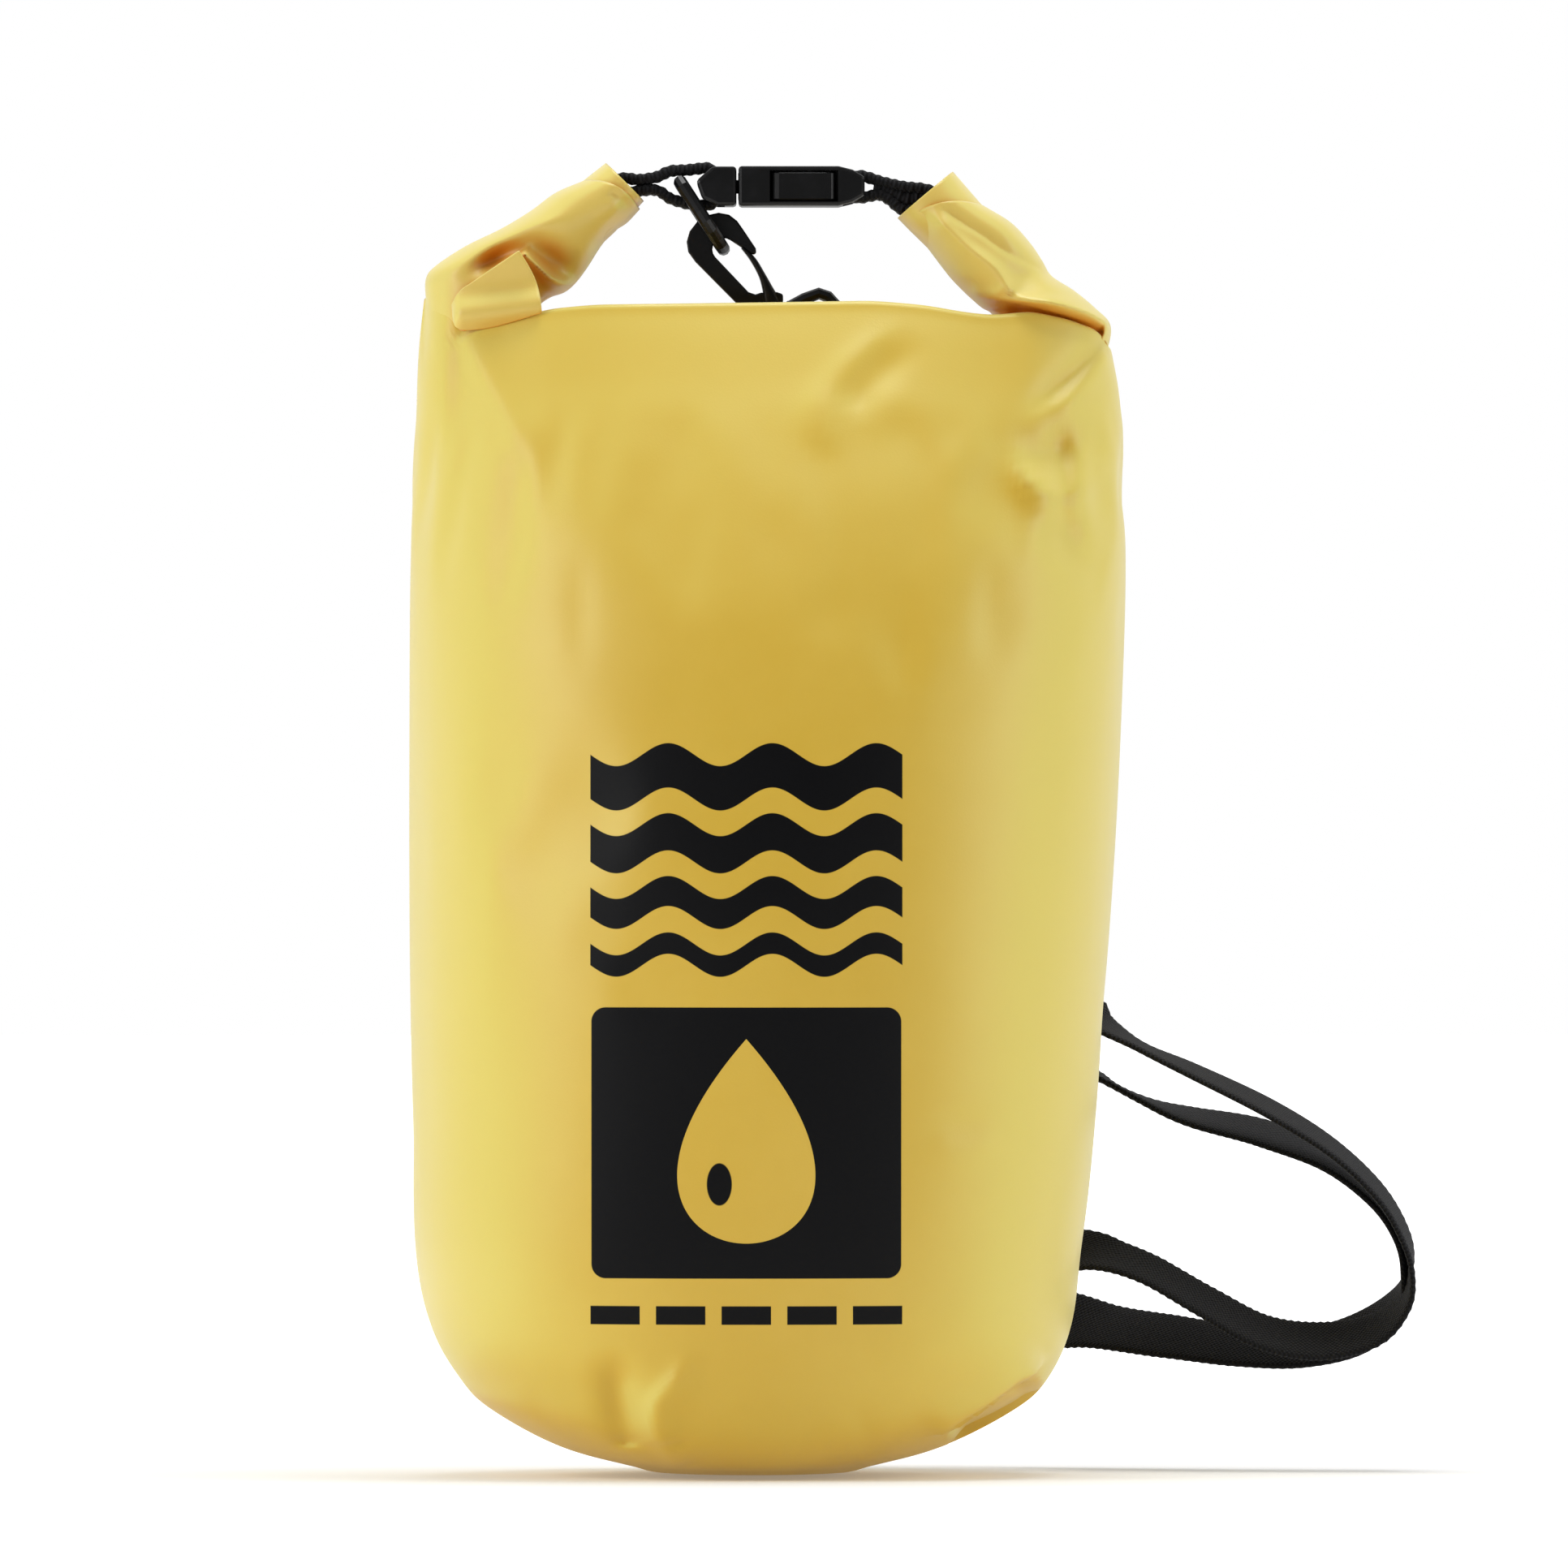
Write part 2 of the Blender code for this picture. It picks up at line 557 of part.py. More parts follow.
# ---- harness -----------------------------------------------------------------------------------
JOINT_X, JOINT_Z = 27.0, 288.0   # where the loop and both straps are sewn together, on the back
ANCHOR_Z = 58.0
NEAR_LOCK_X, FAR_LOCK_X = 28.0, -42.0
LOCK_LIFT = 6.8                  # height of a ladder lock's middle above the back
STRAP_END_REACH = 23.0           # distance from a lock's middle to the end of its folded web


def on_back(x, z, lift, tilt=0.0):
    """A station for webbing lying on the back, its width level or tilted towards vertical."""
    here = back_point(x, z, lift)
    level = (back_point(x + 1, z, lift) - back_point(x - 1, z, lift)).normalized()
    upright = (back_point(x, z + 1, lift) - back_point(x, z - 1, lift)).normalized()
    across = level * math.cos(math.radians(tilt)) + upright * math.sin(math.radians(tilt))
    return (*here, *across)


def make_harness_loop(web):
    """The web loop on the swivel's eye, doubled, going over the roll to the straps' joint."""
    bar = hook_point(EYE_BAR_U, 0)
    out = -HOOK_UP
    near, far = 3.1, -3.1
    eye_width = tuple(HOOK_SIDE)
    stations = [
        on_back(JOINT_X, JOINT_Z, 2.0),
        on_back(JOINT_X - 1.5, JOINT_Z + 9, 3.4),
        (22.0, 30.0, 309.0, 0.95, 0, 0.25),
        (19.2, 15.0, 309.6, 0.85, 0, 0.45),
        (*(bar + out * 5.0 + Vector((0, near + 0.6, 0))), *eye_width),
        (*(bar + out * 1.0 + Vector((0, near, 0))), *eye_width),
        (*(bar - out * 3.9 + Vector((0, near * 0.75, 0))), *eye_width),
        (*(bar - out * 5.4), *eye_width),
        (*(bar - out * 3.9 + Vector((0, far * 0.75, 0))), *eye_width),
        (*(bar + out * 1.0 + Vector((0, far, 0))), *eye_width),
        (*(bar + out * 6.0 + Vector((0, far + 1.2, 0))), *eye_width),
    ]
    add_object("harness_loop", web_mesh("harness_loop", stations, 40, half=9.0), web)


def make_straps(web):
    """The two shoulder straps: down the back, out in a loop to the right, and back to the base."""
    near_strap = [
        on_back(JOINT_X + 1, JOINT_Z - 3, 2.0),
        on_back(36, 262, 3.0, -15),
        on_back(46, 232, 2.2, -20),
        on_back(58, 200, 2.4, -30),
        on_back(72, 170, 3.0, -20),
        on_back(84, 145, 5.0, 40),
        (103.4, 53.0, 121.6, 0.1, 0.75, 0.62),
        (140.0, 44.0, 104.0, 0, 0.9, 0.42),
        (167.5, 41.0, 86.9, 0, 0.86, 0.5),
        (180.7, 40.0, 66.3, 0, 0.82, 0.57),
        (178.9, 40.0, 47.5, 0, 0.75, 0.66),
        (160.6, 40.0, 35.4, 0, 0.65, 0.76),
        (135.4, 42.0, 39.3, 0, 0.6, 0.8),
        (112.0, 50.0, 53.0, 0.1, 0.5, 0.85),
        on_back(80, 58, 6.0, 80),
        on_back(62, 58, 6.8, 90),
        on_back(NEAR_LOCK_X + STRAP_END_REACH, ANCHOR_Z, LOCK_LIFT, 90),
    ]
    far_strap = [
        on_back(JOINT_X + 1, JOINT_Z - 3, 4.6),
        on_back(30, 262, 6.6),
        on_back(29, 232, 5.6),
        on_back(36, 195, 4.6, -10),
        on_back(52, 158, 4.8, -25),
        on_back(72, 125, 6.0, 20),
        (103.4, 73.0, 105.6, 0.1, 0.75, 0.62),
        (140.0, 66.0, 94.9, 0, 0.9, 0.42),
        (165.0, 64.0, 81.0, 0, 0.86, 0.5),
        (178.5, 64.0, 62.0, 0, 0.82, 0.57),
        (174.0, 64.0, 42.5, 0, 0.75, 0.66),
        (153.7, 65.0, 32.8, 0, 0.65, 0.76),
        (122.0, 73.0, 34.0, 0, 0.6, 0.8),
        (96.0, 85.0, 38.0, 0, 0.4, 0.9),
        (62.0, 98.0, 47.0, 0, 0.15, 1.0),
        on_back(28, 56, 17.5, 90),
        on_back(4, ANCHOR_Z, 16.0, 90),
        on_back(FAR_LOCK_X + STRAP_END_REACH, ANCHOR_Z, LOCK_LIFT, 90),
    ]
    for name, stations, count in (("shoulder_strap_near", near_strap, 90),
                                  ("shoulder_strap_far", far_strap, 110)):
        add_object(name, web_mesh(name, stations, count), web)


# ---- anchors on the lower back -----------------------------------------------------------------
LOCK_HALF = (9.6, 13.6, 1.9)     # half length, half height and half thickness of a ladder lock
LOCK_BAR = 8.2                   # distance of its end bars from its middle


def anchor_frame(x, lift):
    """A frame on the bag's back: first axis runs along the bag towards +X, second is up."""
    here = back_point(x, ANCHOR_Z, lift)
    ahead = (back_point(x + 1, ANCHOR_Z, lift) - back_point(x - 1, ANCHOR_Z, lift)).normalized()
    up = Vector((0, 0, 1))
    out = ahead.cross(up) * -1
    return Matrix.Translation(here) @ Matrix((ahead, up, out)).transposed().to_4x4()


def make_patch(pvc):
    """The reinforcing panel welded to the back, that carries both anchors."""
    bm = bmesh.new()
    xs, zs = np.linspace(-62, 46, 15), np.linspace(40, 76, 4)
    grid = [[bm.verts.new(back_point(x, z, GAP)) for x in xs] for z in zs]
    for low, high in zip(grid, grid[1:]):
        for i in range(len(xs) - 1):
            bm.faces.new((low[i + 1], low[i], high[i], high[i + 1]))
    bmesh.ops.scale(bm, vec=(MM, MM, MM), verts=bm.verts)
    mesh = bpy.data.meshes.new("anchor_patch")
    bm.to_mesh(mesh)
    bm.free()
    mesh.shade_smooth()
    patch = add_object("anchor_patch", mesh, pvc)
    solidify(patch, 1.0, offset=1.0)


def folded_web(name, frame, bar_x, tail_x, upper, lower, web):
    """A web folded round a bar at bar_x, both plies running back to tail_x, in a lock's frame."""
    away = math.copysign(1.0, tail_x - bar_x)
    turn = bar_x - away * 2.9
    profile = [(tail_x, lower), (bar_x + away * 4, lower), (bar_x - away * 1.2, lower),
               (turn, lower / 2), (turn, upper / 2), (bar_x - away * 1.2, upper),
               (bar_x + away * 4, upper), (tail_x, upper)]
    stations = []
    for a, c in profile:
        place = frame @ Vector((a, 0, c))
        stations.append((*place, 0, 0, 1))
    add_object(name, web_mesh(name, stations, 40), web)


def make_anchor(side, x, web, plastic):
    """A sewn tab, its ladder lock, and the end of the strap threaded through the lock."""
    frame = anchor_frame(x, LOCK_LIFT)
    name = "ladder_lock_" + side
    half = Vector(LOCK_HALF)
    lock = add_object(name, box_mesh(name, -half, half), plastic)
    lock.matrix_world = Matrix.Translation(frame.translation * MM) @ frame.to_3x3().to_4x4()
    bevel(lock, 0.7)
    for index, middle in enumerate((-LOCK_BAR / 2, LOCK_BAR / 2)):
        cut = add_cutter(f"{name}_slot_{index}", box_mesh(
            f"{name}_slot_{index}", (middle - 2.7, -SLOT_HALF, -5), (middle + 2.7, SLOT_HALF, 5)))
        cut.matrix_world = lock.matrix_world
        boolean(lock, cut)
    folded_web("anchor_tab_" + side, frame, -LOCK_BAR, -24.0, 3.3, -3.1, web)
    folded_web("strap_end_" + side, frame, LOCK_BAR, 22.0, 3.3, -2.9, web)


# ---- assembly ----------------------------------------------------------------------------------
def lock_hinge(x):
    """The upright axis a ladder lock tilts about: its bar in the sewn tab."""
    return anchor_frame(x, LOCK_LIFT) @ Vector((-LOCK_BAR, 0, 0))


def joint_tree():
    """Each moving body: its joint's place, the body it moves on, and the pieces that ride it."""
    return {
        "left_end": ((LEFT_HINGE_X, 0, HINGE_Z), None, ("roll_left", "stiffener_left")),
        "right_end": ((RIGHT_HINGE_X, 0, HINGE_Z), None, ("roll_right", "stiffener_right")),
        "male_half": ((LEFT_MOUTH_X, 0, BUCKLE_Z), "left_end", ("buckle_plug", "buckle_web_left")),
        "female_half": ((RIGHT_MOUTH_X, 0, BUCKLE_Z), "right_end",
                        ("buckle_socket", "buckle_web_right")),
        "front_prong": ((PRONG_PIVOT[0], -PRONG_PIVOT[1], BUCKLE_Z), "male_half",
                        ("prong_front",)),
        "rear_prong": ((PRONG_PIVOT[0], PRONG_PIVOT[1], BUCKLE_Z), "male_half", ("prong_rear",)),
        "ring": (RING_TOP, "male_half", ("d_ring",)),
        "eye": (RING_FOOT, "ring", ("swivel_eye",)),
        "hook": (HOOK_ORIGIN, "eye", ("hook_body",)),
        "gate": (hook_point(*GATE_PIVOT), "hook", ("hook_gate",)),
        "harness_top": (hook_point(EYE_BAR_U, 0), None, ("harness_loop",)),
        "near_lock": (lock_hinge(NEAR_LOCK_X), None, ("ladder_lock_near", "strap_end_near")),
        "far_lock": (lock_hinge(FAR_LOCK_X), None, ("ladder_lock_far", "strap_end_far")),
    }


def assemble():
    """Parents every moving piece to an empty that stands on its joint's axis."""
    empties = {}
    for name, (place, parent, pieces) in joint_tree().items():
        empty = add_object(name + "_joint", None)
        empty.empty_display_size = 0.01
        empty.location = Vector(place) * MM
        if parent:
            empty.parent = empties[parent]
            empty.location -= Vector(joint_tree()[parent][0]) * MM
        empties[name] = empty
        for piece in pieces:
            child = PARTS.objects[piece]
            child.parent = empty
            child.matrix_parent_inverse = Matrix.Translation(-Vector(place) * MM)


def main():
    clear_scene()
    pvc = make_material("yellow_pvc", (0.80, 0.55, 0.10), 0.42)
    web = make_material("black_webbing", (0.012, 0.012, 0.014), 0.85)
    plastic = make_material("black_plastic", (0.010, 0.010, 0.011), 0.38)
    strip = make_material("stiffener_strip", (0.70, 0.48, 0.10), 0.5)

    make_sleeve(pvc)
    make_base_panel(pvc)
    make_roll_centre(pvc)
    make_roll_end("roll_left", LEFT_HINGE_X, LEFT_MOUTH_X, pvc)
    make_roll_end("roll_right", RIGHT_HINGE_X, RIGHT_MOUTH_X, pvc)
    make_stiffeners(strip)

    make_socket(plastic)
    make_plug(plastic)
    make_prong("prong_rear", 1, plastic)
    make_prong("prong_front", -1, plastic)
    make_buckle_webs(web)

    make_d_ring(plastic)
    make_hook_body(plastic)
    make_hook_gate(plastic)
    make_swivel_eye(plastic)

    make_harness_loop(web)
    make_straps(web)
    make_patch(pvc)
    make_anchor("near", NEAR_LOCK_X, web, plastic)
    make_anchor("far", FAR_LOCK_X, web, plastic)
    assemble()


main()
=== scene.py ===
"""Looks for the roll-top dry bag: soft skin, woven webbing, moulded buckle and hook, on a studio floor.

Frame as in the CAD: metres, +Z up, front faces -Y. Sizes in this script are in millimetres.
"""

import json
import math

import bmesh
import bpy
import numpy as np
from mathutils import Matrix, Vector


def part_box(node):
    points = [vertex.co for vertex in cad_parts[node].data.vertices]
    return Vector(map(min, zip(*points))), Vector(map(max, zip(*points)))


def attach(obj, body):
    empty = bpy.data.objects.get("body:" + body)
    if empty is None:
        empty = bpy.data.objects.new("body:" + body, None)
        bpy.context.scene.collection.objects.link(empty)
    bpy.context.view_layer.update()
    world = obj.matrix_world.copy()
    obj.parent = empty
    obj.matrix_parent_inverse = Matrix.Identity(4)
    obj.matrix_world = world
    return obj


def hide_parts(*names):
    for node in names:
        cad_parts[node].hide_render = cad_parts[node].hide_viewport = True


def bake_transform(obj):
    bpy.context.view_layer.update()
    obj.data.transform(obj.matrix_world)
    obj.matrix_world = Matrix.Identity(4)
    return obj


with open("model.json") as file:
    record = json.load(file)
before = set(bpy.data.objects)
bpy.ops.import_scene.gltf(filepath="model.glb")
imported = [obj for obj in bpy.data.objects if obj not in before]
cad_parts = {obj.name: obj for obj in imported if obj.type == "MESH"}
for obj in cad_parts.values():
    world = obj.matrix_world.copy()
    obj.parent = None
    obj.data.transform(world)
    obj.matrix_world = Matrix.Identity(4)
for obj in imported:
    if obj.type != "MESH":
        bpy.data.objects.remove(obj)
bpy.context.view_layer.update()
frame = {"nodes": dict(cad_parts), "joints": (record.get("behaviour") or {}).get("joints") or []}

MM = 0.001
FABRIC = 1.0           # thickness of the skin
WEB_HALF = 10.0        # half the webbing's width
WEB_THICK = 1.7
BUCKLE_Z = 362.7       # height of the buckle's middle


# ---- colour and materials ----
def srgb(text):
    """A hex colour as linear red, green, blue and alpha."""
    values = [int(text[i:i + 2], 16) / 255 for i in (1, 3, 5)]
    return (*[v / 12.92 if v < 0.04045 else ((v + 0.055) / 1.055)**2.4 for v in values], 1.0)


class Nodes:
    """Builds the node tree of a material or a world with short calls."""

    def __init__(self, owner, shader="Principled BSDF"):
        owner.use_nodes = True
        self.owner = owner
        self.tree = owner.node_tree
        self.shader = self.tree.nodes[shader]

    def add(self, kind, settings=None, **inputs):
        made = self.tree.nodes.new("ShaderNode" + kind)
        for key, value in (settings or {}).items():
            setattr(made, key, value)
        for key, value in inputs.items():
            self.feed(made, key.replace("_", " "), value)
        return made

    def feed(self, target, key, value):
        socket = target.inputs[int(key)] if key.isdigit() else target.inputs[key]
        if isinstance(value, bpy.types.NodeSocket):
            self.tree.links.new(value, socket)
        else:
            socket.default_value = value

    def math(self, operation, a, b=0.0, clamp=False):
        made = self.tree.nodes.new("ShaderNodeMath")
        made.operation = operation
        made.use_clamp = clamp
        self.feed(made, "0", a)
        self.feed(made, "1", b)
        return made.outputs[0]

    def plus(self, a, b):
        return self.math("ADD", a, b)

    def minus(self, a, b, clamp=False):
        return self.math("SUBTRACT", a, b, clamp)

    def times(self, a, b):
        return self.math("MULTIPLY", a, b)

    def mix(self, share, first, second):
        made = self.tree.nodes.new("ShaderNodeMix")
        made.data_type = "RGBA"
        self.feed(made, "0", share)
        self.feed(made, "6", first)
        self.feed(made, "7", second)
        return made.outputs[2]

    def ramp(self, value, low, high):
        """0 below low, 1 above high, and smooth between."""
        made = self.add("MapRange", {"interpolation_type": "SMOOTHSTEP", "clamp": True},
                        Value=value, From_Min=low, From_Max=high)
        return made.outputs["Result"]

    def bump(self, height, strength, distance, under=None):
        made = self.add("Bump", Height=height, Strength=strength, Distance=distance)
        if under is not None:
            self.feed(made, "Normal", under)
        return made.outputs["Normal"]

    def shade(self, **inputs):
        for key, value in inputs.items():
            self.feed(self.shader, key.replace("_", " "), value)


GOLD = srgb("#D3AD3A")
PALE_GOLD = srgb("#D8B445")
LIT_LEMON = srgb("#DAC75C")
SHEEN_TINT = srgb("#F4E8B4")
AMBER_FOLD_SHADE = srgb("#D8861A")
INK = srgb("#08080A")
BLACK = srgb("#040405")
WORN_BLACK = srgb("#0D0D0F")
YARN = srgb("#26262A")


def coated_fabric(name, printed=False, pale=0.0):
    """Satin PVC: golden where it faces the eye, with painted light turning it lemon and a painted sheen
    making it hazy as it turns away, and painted shade in amber in its folds.

    Under the coating is a very fine woven grain, and handling leaves soft marks.
    """
    n = Nodes(bpy.data.materials.new(name))
    place = n.add("TexCoord").outputs["Object"]
    grain = n.add("TexVoronoi", Vector=place, Scale=1500.0).outputs["Distance"]
    marks = n.add("TexNoise", Vector=place, Scale=16.0, Detail=4.0, Roughness=0.55).outputs["Fac"]
    mottle = n.add("TexNoise", Vector=place, Scale=45.0, Detail=3.0).outputs["Fac"]
    colour = n.mix(n.ramp(marks, 0.35, 0.75), GOLD, PALE_GOLD)
    grazing = n.add("LayerWeight", Blend=0.5).outputs["Facing"]
    # what faces the floor gets none of this painted light, and keeps the deeper, shaded colour
    up = n.add("SeparateXYZ", Vector=n.add("NewGeometry").outputs["Normal"]).outputs["Z"]
    grazing = n.times(grazing, n.ramp(up, -0.85, -0.1))
    # painted light: the skin turns lemon as it turns away from the eye, and pale adds this lemon
    # everywhere
    colour = n.mix(n.math("MAXIMUM", n.ramp(grazing, 0.0, 0.36), pale), colour, LIT_LEMON)
    # painted sheen: a pale haze at grazing angles, and half of pale everywhere
    painted_sheen = n.times(n.math("POWER", grazing, 2.5), 0.58)
    colour = n.mix(n.math("MAXIMUM", painted_sheen, 0.5 * pale), colour, SHEEN_TINT)
    # painted shade: amber darkening in folds and hollows, where ambient occlusion finds the skin closed
    # in
    out_of_fold_shade = n.add("AmbientOcclusion", {"samples": 6, "only_local": printed},
                     Distance=0.016).outputs["AO"]
    colour = n.mix(n.ramp(out_of_fold_shade, 0.3, 0.93), AMBER_FOLD_SHADE, colour)
    roughness = n.plus(0.34, n.times(mottle, 0.10))
    shine = 0.42
    if printed:
        ink = print_mask(n, place)
        colour = n.mix(ink, colour, INK)
        roughness = n.plus(roughness, n.times(ink, 0.10))
        shine = n.minus(shine, n.times(ink, 0.30))
    normal = n.bump(marks, 0.10, 0.002, n.bump(grain, 0.06, 0.0002))
    n.shade(Base_Color=colour, Roughness=roughness, Normal=normal, Specular_IOR_Level=shine,
            Subsurface_Weight=0.06, Subsurface_Radius=(0.004, 0.002, 0.0005),
            Subsurface_Scale=0.5)
    return n.owner


def rounded_box(n, x, z, middle, half, corner):
    """1 inside a rounded rectangle on the front, 0 outside, in metres."""
    dx = n.minus(n.math("ABSOLUTE", n.minus(x, middle[0])), half[0] - corner)
    dz = n.minus(n.math("ABSOLUTE", n.minus(z, middle[1])), half[1] - corner)
    dx = n.math("MAXIMUM", dx, 0.0)
    dz = n.math("MAXIMUM", dz, 0.0)
    away = n.math("SQRT", n.plus(n.times(dx, dx), n.times(dz, dz)))
    return inside(n, away, corner)


def inside(n, away, radius):
    """1 where away is under radius, 0 where it is over, with a slightly soft edge."""
    edge = 0.00012
    return n.minus(1.0, n.ramp(away, radius - edge, radius + edge))


def print_mask(n, place):
    """Generic screen print: wavy stripes over a panel with a water drop, and a row of dashes."""
    middle, half_wide, wave, dash_pitch = -0.0063, 0.0435, 0.029, 0.0183
    x, y, z = n.add("SeparateXYZ", Vector=place).outputs
    facing = n.math("LESS_THAN", y, -0.03)
    from_middle = n.minus(x, middle)
    in_columns = inside(n, n.math("ABSOLUTE", from_middle), half_wide)

    phase = n.times(from_middle, 2 * math.pi / wave)
    swell = n.times(n.math("SINE", phase), 0.0032)
    mask = 0.0
    for height, half in ((0.1965, 0.0062), (0.1780, 0.0052), (0.1615, 0.0042), (0.1470, 0.0030)):
        level = n.math("ABSOLUTE", n.minus(n.minus(z, height), swell))
        stripe = n.times(inside(n, level, half), in_columns)
        mask = n.math("MAXIMUM", mask, stripe)

    panel = rounded_box(n, x, z, (middle, 0.0945), (0.0432, 0.0378), 0.004)
    drop_z = n.minus(z, 0.0865)
    # up its height the drop's half-width goes as sqrt(share) * (1 - share), which ends in a point
    share = n.math("DIVIDE", n.plus(drop_z, 0.0200), 0.0570, clamp=True)
    half = n.times(n.math("SQRT", share), n.minus(1.0, share))
    half = n.times(half, 0.0500)
    drop = n.math("LESS_THAN", n.math("ABSOLUTE", from_middle), half)
    shine_x = n.plus(from_middle, 0.0075)
    shine_z = n.plus(drop_z, 0.0035)
    shine = n.math("SQRT", n.plus(n.times(shine_x, shine_x),
                                  n.times(shine_z, n.times(shine_z, 0.35))))
    drop = n.minus(drop, inside(n, shine, 0.0035), clamp=True)
    mask = n.math("MAXIMUM", mask, n.minus(panel, drop, clamp=True))

    along = n.math("FRACT", n.math("DIVIDE", n.plus(from_middle, half_wide), dash_pitch))
    dash = n.math("LESS_THAN", along, 0.754)
    line = inside(n, n.math("ABSOLUTE", n.minus(z, 0.0464)), 0.0026)
    dashes = n.times(n.times(dash, line), in_columns)
    return n.times(n.math("MAXIMUM", mask, dashes), facing)


def webbing(name):
    """Black woven webbing: cross ribs and warp lines, from the strip's own length and width."""
    n = Nodes(bpy.data.materials.new(name))
    split = n.add("SeparateXYZ", Vector=n.add("UVMap", {"uv_map": "strip"}).outputs["UV"])
    along, across = split.outputs[0], split.outputs[1]
    rib = n.math("SINE", n.times(along, 2 * math.pi / 0.00125))
    warp = n.math("SINE", n.times(across, 2 * math.pi / 0.0016))
    weave = n.times(n.plus(n.times(rib, warp), 1.0), 0.5)
    fuzz = n.add("TexNoise", Vector=n.add("TexCoord").outputs["Object"], Scale=900.0,
                 Detail=3.0).outputs["Fac"]
    colour = n.mix(n.times(weave, fuzz), BLACK, YARN)
    normal = n.bump(weave, 0.8, 0.0004, n.bump(fuzz, 0.3, 0.0002))
    n.shade(Base_Color=colour, Roughness=0.75, Normal=normal, Sheen_Weight=0.04,
            Sheen_Roughness=0.5, Specular_IOR_Level=0.2)
    return n.owner


def moulded_plastic(name):
    """Black acetal: smooth, with a fine spark-eroded grain and slight wear on broad faces."""
    n = Nodes(bpy.data.materials.new(name))
    place = n.add("TexCoord").outputs["Object"]
    grain = n.add("TexNoise", Vector=place, Scale=2600.0, Detail=2.0).outputs["Fac"]
    wear = n.add("TexNoise", Vector=place, Scale=180.0, Detail=5.0).outputs["Fac"]
    n.shade(Base_Color=n.mix(n.ramp(wear, 0.45, 0.8), BLACK, WORN_BLACK),
            Roughness=n.plus(0.30, n.times(wear, 0.08)),
            Normal=n.bump(grain, 0.12, 0.0001), Specular_IOR_Level=0.32)
    return n.owner


# ---- mesh helpers ----
def new_object(name, mesh, material):
    obj = bpy.data.objects.new(name, mesh)
    bpy.context.scene.collection.objects.link(obj)
    mesh.materials.append(material)
    return obj


def skin(name, rings, material, closed=True, caps=False, uv=None):
    """A smooth mesh through rows of points, in millimetres. closed joins each row's ends."""
    rings = np.asarray(rings, float)
    rows, count = rings.shape[:2]
    vertices = (rings.reshape(-1, 3) * MM).tolist()
    faces = []
    for r in range(rows - 1):
        for c in range(count if closed else count - 1):
            d = (c + 1) % count
            faces.append((r * count + c, r * count + d, (r + 1) * count + d, (r + 1) * count + c))
    if caps:
        faces.append(tuple(range(count))[::-1])
        faces.append(tuple((rows - 1) * count + c for c in range(count)))
    mesh = bpy.data.meshes.new(name)
    mesh.from_pydata(vertices, [], faces)
    if uv is not None:
        layer = mesh.uv_layers.new(name="strip")
        flat = np.asarray(uv, float).reshape(-1, 2)
        for loop in mesh.loops:
            layer.data[loop.index].uv = flat[loop.vertex_index]
    bm = bmesh.new()
    bm.from_mesh(mesh)
    bmesh.ops.recalc_face_normals(bm, faces=bm.faces)
    bm.to_mesh(mesh)
    bm.free()
    mesh.shade_smooth()
    mesh.set_sharp_from_angle(angle=math.radians(75))
    return new_object(name, mesh, material)


def apply_all(obj):
    """Replaces obj's mesh by its evaluated one."""
    bpy.context.view_layer.update()
    evaluated = obj.evaluated_get(bpy.context.evaluated_depsgraph_get())
    mesh = bpy.data.meshes.new_from_object(evaluated)
    obj.modifiers.clear()
    obj.data = mesh


def thicken(obj, thickness, offset=-1.0):
    """Gives a sheet its thickness, inward from its surface unless offset says otherwise."""
    modifier = obj.modifiers.new("thickness", "SOLIDIFY")
    modifier.thickness = thickness * MM
    modifier.offset = offset


def subdivide(obj):
    modifier = obj.modifiers.new("smooth", "SUBSURF")
    modifier.levels = 1
    modifier.render_levels = 1


def smooth_step(value, low, high):
    """0 below low, 1 above high, and smooth between."""
    share = np.clip((value - low) / (high - low), 0, 1)
    return share * share * (3 - 2 * share)


def squared_off(wave, power):
    """A sine or cosine bent toward its peaks, which turns an ellipse into a rounder-cornered box."""
    return np.sign(wave) * np.abs(wave) ** power


def between_rows(rows, t):
    """A row at t (0 is the first row, 1 the second) of a Catmull-Rom curve through rows of numbers."""
    padded = np.vstack([2 * rows[0] - rows[1], rows, 2 * rows[-1] - rows[-2]])
    i = min(int(t), len(rows) - 2)
    a, b, c, d = padded[i:i + 4]
    s = t - i
    return 0.5 * (2 * b + (c - a) * s + (2 * a - 5 * b + 4 * c - d) * s**2
                  + (3 * b - a - 3 * c + d) * s**3)


def curve_through(points, count, fine=24):
    """A smooth curve through rows of numbers, as count rows evenly spaced in space."""
    knots = np.array([tuple(p) for p in points], float)
    path = [between_rows(knots, i + t) for i in range(len(knots) - 1)
            for t in np.linspace(0, 1, fine, endpoint=False)]
    path = np.array([*path, knots[-1]])
    steps = np.r_[0, np.cumsum(np.linalg.norm(np.diff(path[:, :3], axis=0), axis=1))]
    wanted = np.linspace(0, steps[-1], count)
    return np.column_stack([np.interp(wanted, steps, column) for column in path.T])


def read_points(obj, what="co"):
    """The places of obj's points, in metres, or with what="normal" the ways they face, as rows."""
    values = np.empty(len(obj.data.vertices) * 3)
    obj.data.vertices.foreach_get(what, values)
    return values.reshape(-1, 3)


def edit_points(obj, change):
    """Runs change on obj's points as an array in millimetres, and writes them back."""
    points = change(read_points(obj) / MM) * MM
    obj.data.vertices.foreach_set("co", points.ravel())
    obj.data.update()


